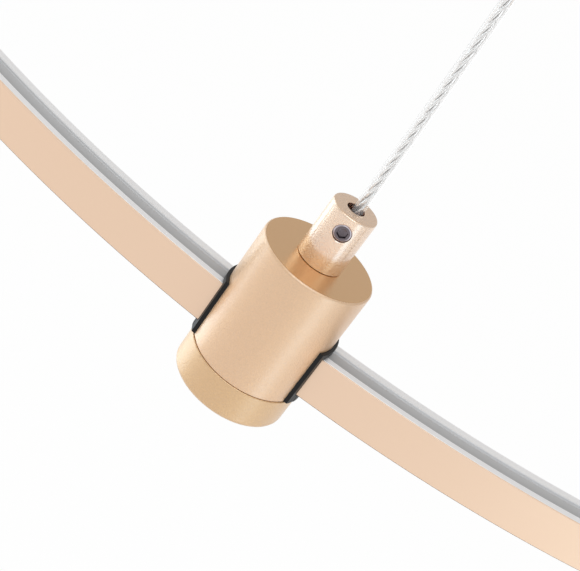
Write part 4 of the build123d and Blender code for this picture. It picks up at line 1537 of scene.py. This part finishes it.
@dataclass
class CableGrip:
    """One grip under the canopy: a turned barrel, the ring that closes it and its release plunger."""

    number: int
    seat: Seat
    flange: float = 8.0
    flange_thick: float = 2.0
    barrel: float = 6.0
    length: float = 18.0
    neck: float = 5.0
    neck_length: float = 12.0
    edge: float = 0.4
    hair_edge: float = 0.05
    fine_edge: float = 0.1
    soft_edge: float = 0.15
    mouth_edge: float = 0.2
    barrel_foot: float = 0.08
    ring_seam: float = 0.06
    bore: float = 1.7
    spring_room: float = 4.2
    spring_top: float = -7.05
    ring_seat: float = 5.05
    ring: float = 5.0
    ring_depth: float = 4.0
    ring_lip: float = 1.0
    ring_bore: float = 2.6
    plunger: float = 2.5
    plunger_bore: float = 1.6
    plunger_bottom: float = -24.0
    plunger_edge: float = 0.5
    collar: float = 3.9
    collar_bottom: float = -13.95
    collar_thick: float = 1.5
    release: float = 3.0
    spring: float = 3.5
    spring_wire: float = 0.3
    spring_turns: float = 3.5
    spring_flat: float = 0.6
    spring_steps: int = 48
    spring_sides: int = 12
    grip_grooves: int = 4
    groove_pitch: float = 1.2
    groove_depth: float = 0.25
    thread_depth: float = 0.25
    thread_pitch: float = 1.0
    thread_start: float = 0.9
    thread_end: float = 0.4
    segments: int = 96

    def barrel_surface(self) -> Surface:
        """The barrel: flange, grooved barrel and threaded neck, turned round the cable's bore.

        Returns:
            The barrel's surface.
        """
        bottom, seat_top, middle = -self.length, self.ring_depth - self.length, -self.length / 2
        grooves_end = middle - self.groove_pitch * self.grip_grooves
        grooves = thread(self.barrel, self.groove_depth, self.groove_pitch, middle, grooves_end)
        ridge_top = self.neck_length - self.thread_start
        ridges = thread(self.neck, self.thread_depth, self.thread_pitch, ridge_top, self.thread_end)
        outline = rounded([
            (self.bore, self.neck_length, self.fine_edge),
            (self.neck - self.thread_depth, self.neck_length, self.mouth_edge), *ridges,
            (self.neck, 0.0, 0.0), (self.flange, 0.0, self.fine_edge),
            (self.flange, -self.flange_thick, self.edge), (self.barrel, -self.flange_thick, self.soft_edge),
            *grooves, (self.barrel, bottom, self.barrel_foot), (self.ring_seat, bottom, 0.0),
            (self.ring_seat, seat_top, 0.0), (self.spring_room, seat_top, 0.0),
            (self.spring_room, self.spring_top, 0.0), (self.bore, self.spring_top, 0.0),
        ])
        return lathe(outline, self.segments).placed(self.seat)

    def end_ring(self) -> Surface:
        """The end ring: a turned bush with a thin lip.

        Returns:
            The ring's surface.
        """
        bottom, top = -self.length, self.ring_depth - self.length
        lip = bottom - self.ring_lip
        outline = rounded([
            (self.ring_bore, top, self.hair_edge), (self.ring, top, self.fine_edge),
            (self.ring, bottom, 0.0), (self.barrel, bottom, self.ring_seam),
            (self.barrel, lip, self.edge), (self.ring_bore, lip, self.soft_edge),
        ])
        return lathe(outline, self.segments).placed(self.seat)

    def plunger_surface(self) -> Surface:
        """The plunger: a turned tube with a collar and a rounded lower end.

        Returns:
            The plunger's surface.
        """
        low, end = self.collar_bottom, self.plunger_bottom
        top = low + self.collar_thick
        outline = rounded([
            (self.plunger_bore, top, self.hair_edge), (self.collar, top, self.soft_edge),
            (self.collar, low, self.soft_edge), (self.plunger, low, 0.0),
            (self.plunger, end, self.plunger_edge), (self.plunger_bore, end, self.mouth_edge),
        ])
        return lathe(outline, self.segments).placed(self.seat)

    def spring_surface(self) -> Surface:
        """The spring: a round wire carried along a helix whose end turns lie flat.

        At a share t of the wire its middle is spring (cos f, sin f), where f = 2 pi turns t, at the height
        low + (high - low) e. The rise e is (turns t - flat) / (turns - 2 flat), held between 0 and 1.

        Returns:
            The spring's surface.
        """
        low = self.collar_bottom + self.collar_thick + self.spring_wire
        high = self.spring_top - self.spring_wire
        turned = np.linspace(0.0, self.spring_turns, int(self.spring_turns * self.spring_steps))[:, None]
        rise = np.clip((turned - self.spring_flat) / (self.spring_turns - 2 * self.spring_flat), 0.0, 1.0)
        side = full_turn(self.spring_sides)
        thick = np.full_like(turned, self.spring_wire)
        thick[[0, -1]] = 0.0
        reach, height = self.spring + thick * np.cos(side), low + (high - low) * rise + thick * np.sin(side)
        points = about_axis(reach, 2 * math.pi * turned, height)
        return grid_surface(points, wrap_rows=False).placed(self.seat)

    def build(self, shop: Workshop) -> None:
        """Make the grip's pieces, its spring among them.

        Args:
            shop: The workshop.
        """
        n = self.number
        shop.piece(f"grip_sleeve_{n}", self.barrel_surface(), CANOPY_GOLD, stands_for=[f"grip_barrel_{n}"])
        shop.piece(f"grip_bush_{n}", self.end_ring(), CANOPY_GOLD, stands_for=[f"grip_end_ring_{n}"])
        shop.piece(
            f"grip_release_{n}", self.plunger_surface(), TURNED_STEEL, body=f"plunger_{n}",
            stands_for=[f"grip_plunger_{n}"],
        )
        spring = shop.piece(
            f"grip_coil_{n}", self.spring_surface(), TURNED_STEEL, stands_for=[f"grip_spring_{n}"]
        )
        held = (np.array(self.seat.raised(self.spring_top)) * MM).tolist()
        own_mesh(spring)


@dataclass
class Canopy:
    """The ceiling fitting: spun cover, bracket, two thumb screws, grip nuts and the electrics inside."""

    radius: float = 110.0
    height: float = 30.0
    wall: float = 1.2
    edge: float = 6.0
    rim_edge: float = 0.3
    ceiling_gap: float = 0.5
    grip_radius: float = 92.0
    grip_hole: float = 5.1
    drill_reach: float = 4.0
    drill_depth: float = 6.0
    drill_segments: int = 65
    screw_level: float = -12.0
    screw_hole: float = 2.2
    screw_segments: int = 50
    screw: float = 2.0
    screw_inner: float = 103.1
    screw_pitch: float = 0.7
    screw_depth: float = 0.2
    screw_chamfer: float = 0.4
    thread_start: float = 0.5
    thread_end: float = 0.6
    head: float = 4.5
    head_gap: float = 0.2
    head_length: float = 6.0
    head_edge: float = 0.6
    dish_mouth: float = 1.1
    dish_floor: float = 1.4
    dish_depth: float = 0.5
    knurls: int = 48
    knurl_depth: float = 0.16
    knurl_steps: int = 5
    nut_half: float = 7.0
    nut_thick: float = 4.0
    nut_chamfer: float = 0.5
    nut_ease: float = 0.2
    nut_soft: float = 0.08
    nut_segments: int = 72
    segments: int = 288

    def grip_seats(self, level: float) -> list[Seat]:
        """Upright seats on the axes of the three grips, at one level."""
        return [upright_seat(angle, self.grip_radius, level) for angle in SUSPENSION_ANGLES]

    def cover(self, shop: Workshop) -> bpy.types.Mesh:
        """The cover: a turned dish with holes for the grips and the thumb screws.

        Args:
            shop: The workshop that cuts it.

        Returns:
            The cover's mesh.
        """
        inner, floor, rim = self.radius - self.wall, self.wall - self.height, -self.ceiling_gap
        outline = rounded([
            (0.0, -self.height, 0.0), (self.radius, -self.height, self.edge),
            (self.radius, rim, self.rim_edge), (inner, rim, self.rim_edge),
            (inner, floor, self.edge - self.wall), (0.0, floor, 0.0),
        ])
        drill = rod(self.grip_hole, -self.drill_reach, self.drill_reach, self.drill_segments)
        cutters = [drill.placed(seat) for seat in self.grip_seats(-self.height)]
        near, far = self.radius - self.drill_depth, self.radius + self.drill_reach
        side = rod(self.screw_hole, near, far, self.screw_segments)
        cutters += [side.placed(self.screw_seat(way)) for way in (1.0, -1.0)]
        return shop.cut("canopy", lathe(outline, self.segments), cutters)

    def screw_seat(self, way: float) -> Seat:
        """Seat of a thumb screw, with z pointing out of the canopy to one side."""
        return Seat((0.0, 0.0, self.screw_level), (0.0, way, 0.0), (way, 0.0, 0.0))

    def thumb_screw(self, way: float) -> Surface:
        """A thumb screw: a threaded shank and a head whose rim is knurled.

        The rim's radius is r - depth k |sin(n a / 2)|, where k is 1 on the knurled rings and 0 elsewhere.

        Args:
            way: 1 for the right screw, -1 for the left.

        Returns:
            The screw's surface.
        """
        tip, face = self.screw_inner, self.radius + self.head_gap
        front, small = face + self.head_length, self.head - self.head_edge
        start, end = tip + self.thread_start, face - self.thread_end
        ridges = thread(self.screw, self.screw_depth, self.screw_pitch, start, end)
        dish = front - self.dish_depth
        rings = np.array([
            (0.0, tip, 0.0), (self.screw - self.screw_chamfer, tip, 0.0), *ridges,
            (self.screw, face, 0.0), (small, face, 0.0), (self.head, face + self.head_edge, 1.0),
            (self.head, front - self.head_edge, 1.0), (small, front, 0.0),
            (small - self.dish_mouth, front, 0.0), (small - self.dish_floor, dish, 0.0), (0.0, dish, 0.0),
        ])
        angle = full_turn(self.knurl_steps * self.knurls)[None, :]
        radius, height, knurl = rings.T[:, :, None]
        reach = radius - self.knurl_depth * knurl * np.abs(np.sin(self.knurls * angle / 2))
        return grid_surface(about_axis(reach, angle, height), wrap_rows=False).placed(self.screw_seat(way))

    def nuts(self) -> Surface:
        """The grip nuts: six-sided rings with chamfered corners.

        Returns:
            The surface of all three.
        """
        low = self.wall - self.height
        high, chamfer, face = low + self.nut_thick, self.nut_chamfer, self.nut_half - self.nut_ease
        rings = [
            (self.grip_hole, low, 0.0), (face, low, 0.0), (self.nut_half, low + chamfer, 1.0),
            (self.nut_half, high - chamfer, 1.0), (face, high, 0.0), (self.grip_hole, high, 0.0),
        ]
        nut = hexed_lathe(rings, self.nut_segments, closed=True)
        return joined([nut.placed(seat) for seat in self.grip_seats(0.0)])

    def build(self, shop: Workshop) -> None:
        """Make the canopy's pieces and dress the ones that stay as they are.

        Args:
            shop: The workshop.
        """
        shop.piece("canopy_dish", self.cover(shop), CANOPY_GOLD, stands_for=["canopy_cover"])
        for side, way in (("right", 1.0), ("left", -1.0)):
            shop.piece(
                f"thumb_screw_{side}", self.thumb_screw(way), CANOPY_GOLD, body=f"thumb_{side}",
                stands_for=[f"cover_screw_{side}"],
            )
        shop.piece(
            "grip_locknuts", self.nuts(), ZINC_STEEL, stands_for=["grip_nuts"], soft_edge=self.nut_soft
        )
        shop.dress({
            "ceiling_bracket": ZINC_STEEL, "driver": DRIVER_WHITE, "driver_pad": PAD_FOAM,
            "terminal_block": TERMINAL_NYLON, "supply_leads": LEAD_WHITE, "output_leads": LEAD_WHITE,
            "splice_caps": SPLICE_NYLON,
        })


@dataclass(frozen=True)
class Viewpoint:
    """The camera: where it stands round the first fitting, how it is turned, and its lens."""

    aim: Triple = (-0.19, -200.0, -520.0)
    distance: float = 229.93
    azimuth: float = 2.218
    elevation: float = 29.025
    roll: float = 36.304
    pan: float = -0.483
    tilt: float = -1.134
    lens: float = 89.09
    sensor: float = 36.0
    near: float = 10.0
    far: float = 50000.0

    def matrix(self) -> Matrix:
        """Place the camera: back from the aim, then rolled, panned and tilted about its own axes.

        Returns:
            The camera's matrix, in metres.
        """
        turn, rise = math.radians(self.azimuth), math.radians(self.elevation)
        back = np.array([math.sin(turn) * math.cos(rise), -math.cos(turn) * math.cos(rise), math.sin(rise)])
        right = np.array([math.cos(turn), math.sin(turn), 0.0])
        up = np.cross(back, right)
        place = (np.array(self.aim) + self.distance * back) * MM

        def swung(first: np.ndarray, second: np.ndarray, degrees: float) -> tuple[np.ndarray, np.ndarray]:
            """Turn two axes that are square to each other, the first towards the second."""
            cosine, sine = math.cos(math.radians(degrees)), math.sin(math.radians(degrees))
            return first * cosine + second * sine, second * cosine - first * sine

        right, up = swung(right, up, self.roll)
        back, right = swung(back, right, self.pan)
        back, up = swung(back, up, self.tilt)
        return axes_matrix(right, up, back, place)


@dataclass(frozen=True)
class Softbox:
    """One studio lamp, given from the first fitting and aimed at it."""

    name: str
    place: Triple
    width: float
    height: float
    power: float
    colour: Triple


@dataclass
class Studio:
    """Floor, world, lamps and camera."""

    view: Viewpoint = Viewpoint()
    aim: Triple = (0.0, -0.2, -0.52)
    floor_level: float = -2.4
    floor_half: float = 12.0
    floor_colour: Triple = (246.0, 246.0, 245.0)
    floor_white: float = 0.85
    mirrored: float = 0.68
    lamps: tuple[Softbox, ...] = (
        Softbox("lamp_left", (-0.955, 0.386, -0.05), 0.8, 1.7, 5.6, (0.72, 0.9, 1.0)),
        Softbox("lamp_right", (0.88, -0.51, -0.05), 0.36, 1.6, 1.8, (0.66, 0.88, 1.0)),
        Softbox("lamp_top", (0.08, -0.88, 1.52), 1.3, 1.3, 9.5, (0.82, 0.92, 1.0)),
    )

    @staticmethod
    def seen(sheet: Sheet) -> Socket:
        """One for the camera's own rays and for those that gloss or glass sends on, and zero for others.

        Args:
            sheet: Sheet of the material or the world that asks.

        Returns:
            The output that says which.
        """
        path = sheet.node("ShaderNodeLightPath").outputs
        mirrored = sheet.sum("MAXIMUM", path["Is Glossy Ray"], path["Is Transmission Ray"])
        return sheet.sum("MAXIMUM", path["Is Camera Ray"], mirrored)

    def floor(self) -> None:
        """A wide pale floor that looks white and still takes shadows."""
        half, level = self.floor_half, self.floor_level
        mesh = bpy.data.meshes.new("floor")
        corners = [(-half, -half, level), (half, -half, level), (half, half, level), (-half, half, level)]
        mesh.from_pydata(corners, [], [(0, 1, 2, 3)])
        material = bpy.data.materials.new("floor_white")
        sheet = Sheet(material)
        matt = sheet.node("ShaderNodeBsdfDiffuse", {"Color": linear(*self.floor_colour)}).outputs["BSDF"]
        white = sheet.node("ShaderNodeEmission", {"Strength": 1.0}).outputs["Emission"]
        share = sheet.sum("MULTIPLY", self.seen(sheet), self.floor_white)
        mixed = sheet.node("ShaderNodeMixShader", {"Fac": share, 1: matt, 2: white}).outputs["Shader"]
        sheet.node("ShaderNodeOutputMaterial", {"Surface": mixed})
        mesh.materials.append(material)
        Workshop.link("floor", mesh)

    def world(self) -> None:
        """Even white light, which gloss mirrors as a pale grey room."""
        world = bpy.data.worlds.new("studio")
        sheet = Sheet(world)
        strength = sheet.factor(sheet.node("ShaderNodeLightPath").outputs["Is Glossy Ray"], self.mirrored)
        light = sheet.node("ShaderNodeBackground", {"Color": (1.0, 1.0, 1.0, 1.0), "Strength": strength})
        sheet.node("ShaderNodeOutputWorld", {"Surface": light.outputs["Background"]})
        bpy.context.scene.world = world

    def light(self, box: Softbox) -> None:
        """Hang one softbox and aim it at the first fitting.

        Args:
            box: The softbox.
        """
        data = bpy.data.lights.new(box.name, "AREA")
        data.shape = "RECTANGLE"
        data.size = box.width
        data.size_y = box.height
        data.energy = box.power
        data.color = box.colour
        lamp = Workshop.link(box.name, data)
        out = np.array(box.place)
        back = unit(out)
        right = unit(np.cross([0.0, 0.0, 1.0], back))
        lamp.matrix_world = axes_matrix(right, np.cross(back, right), back, np.array(self.aim) + out)

    def camera(self) -> None:
        """Set up the camera at the photograph's viewing angle."""
        data = bpy.data.cameras.new("camera")
        data.lens = self.view.lens
        data.sensor_width = self.view.sensor
        data.clip_start = self.view.near * MM
        data.clip_end = self.view.far * MM
        made = Workshop.link("camera", data)
        made.matrix_world = self.view.matrix()
        bpy.context.scene.camera = made

    def build(self) -> None:
        """Set up the studio and its plain display."""
        self.floor()
        self.world()
        for box in self.lamps:
            self.light(box)
        self.camera()
        bpy.context.scene.view_settings.view_transform = "Standard"


def main() -> None:
    """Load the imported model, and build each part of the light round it."""
    logging.basicConfig(level=logging.INFO, format="%(name)s: %(message)s")
    for spare in list(bpy.data.objects):
        bpy.data.objects.remove(spare)
    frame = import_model()
    Studio().build()
    shop = Workshop(frame)
    for number, angle in enumerate(SUSPENSION_ANGLES, start=1):
        SuspensionCable(number, angle).build(shop)
    ring = LightRing()
    ring.build(shop)
    canopy = Canopy()
    for number, angle in enumerate(SUSPENSION_ANGLES, start=1):
        Connector(number, upright_seat(angle, ring.radius, ring.top)).build(shop)
        CableGrip(number, upright_seat(angle, canopy.grip_radius, -canopy.height)).build(shop)
    canopy.build(shop)
    bpy.context.view_layer.update()
    LOG.info("the light is built")


if __name__ == "__main__":
    main()
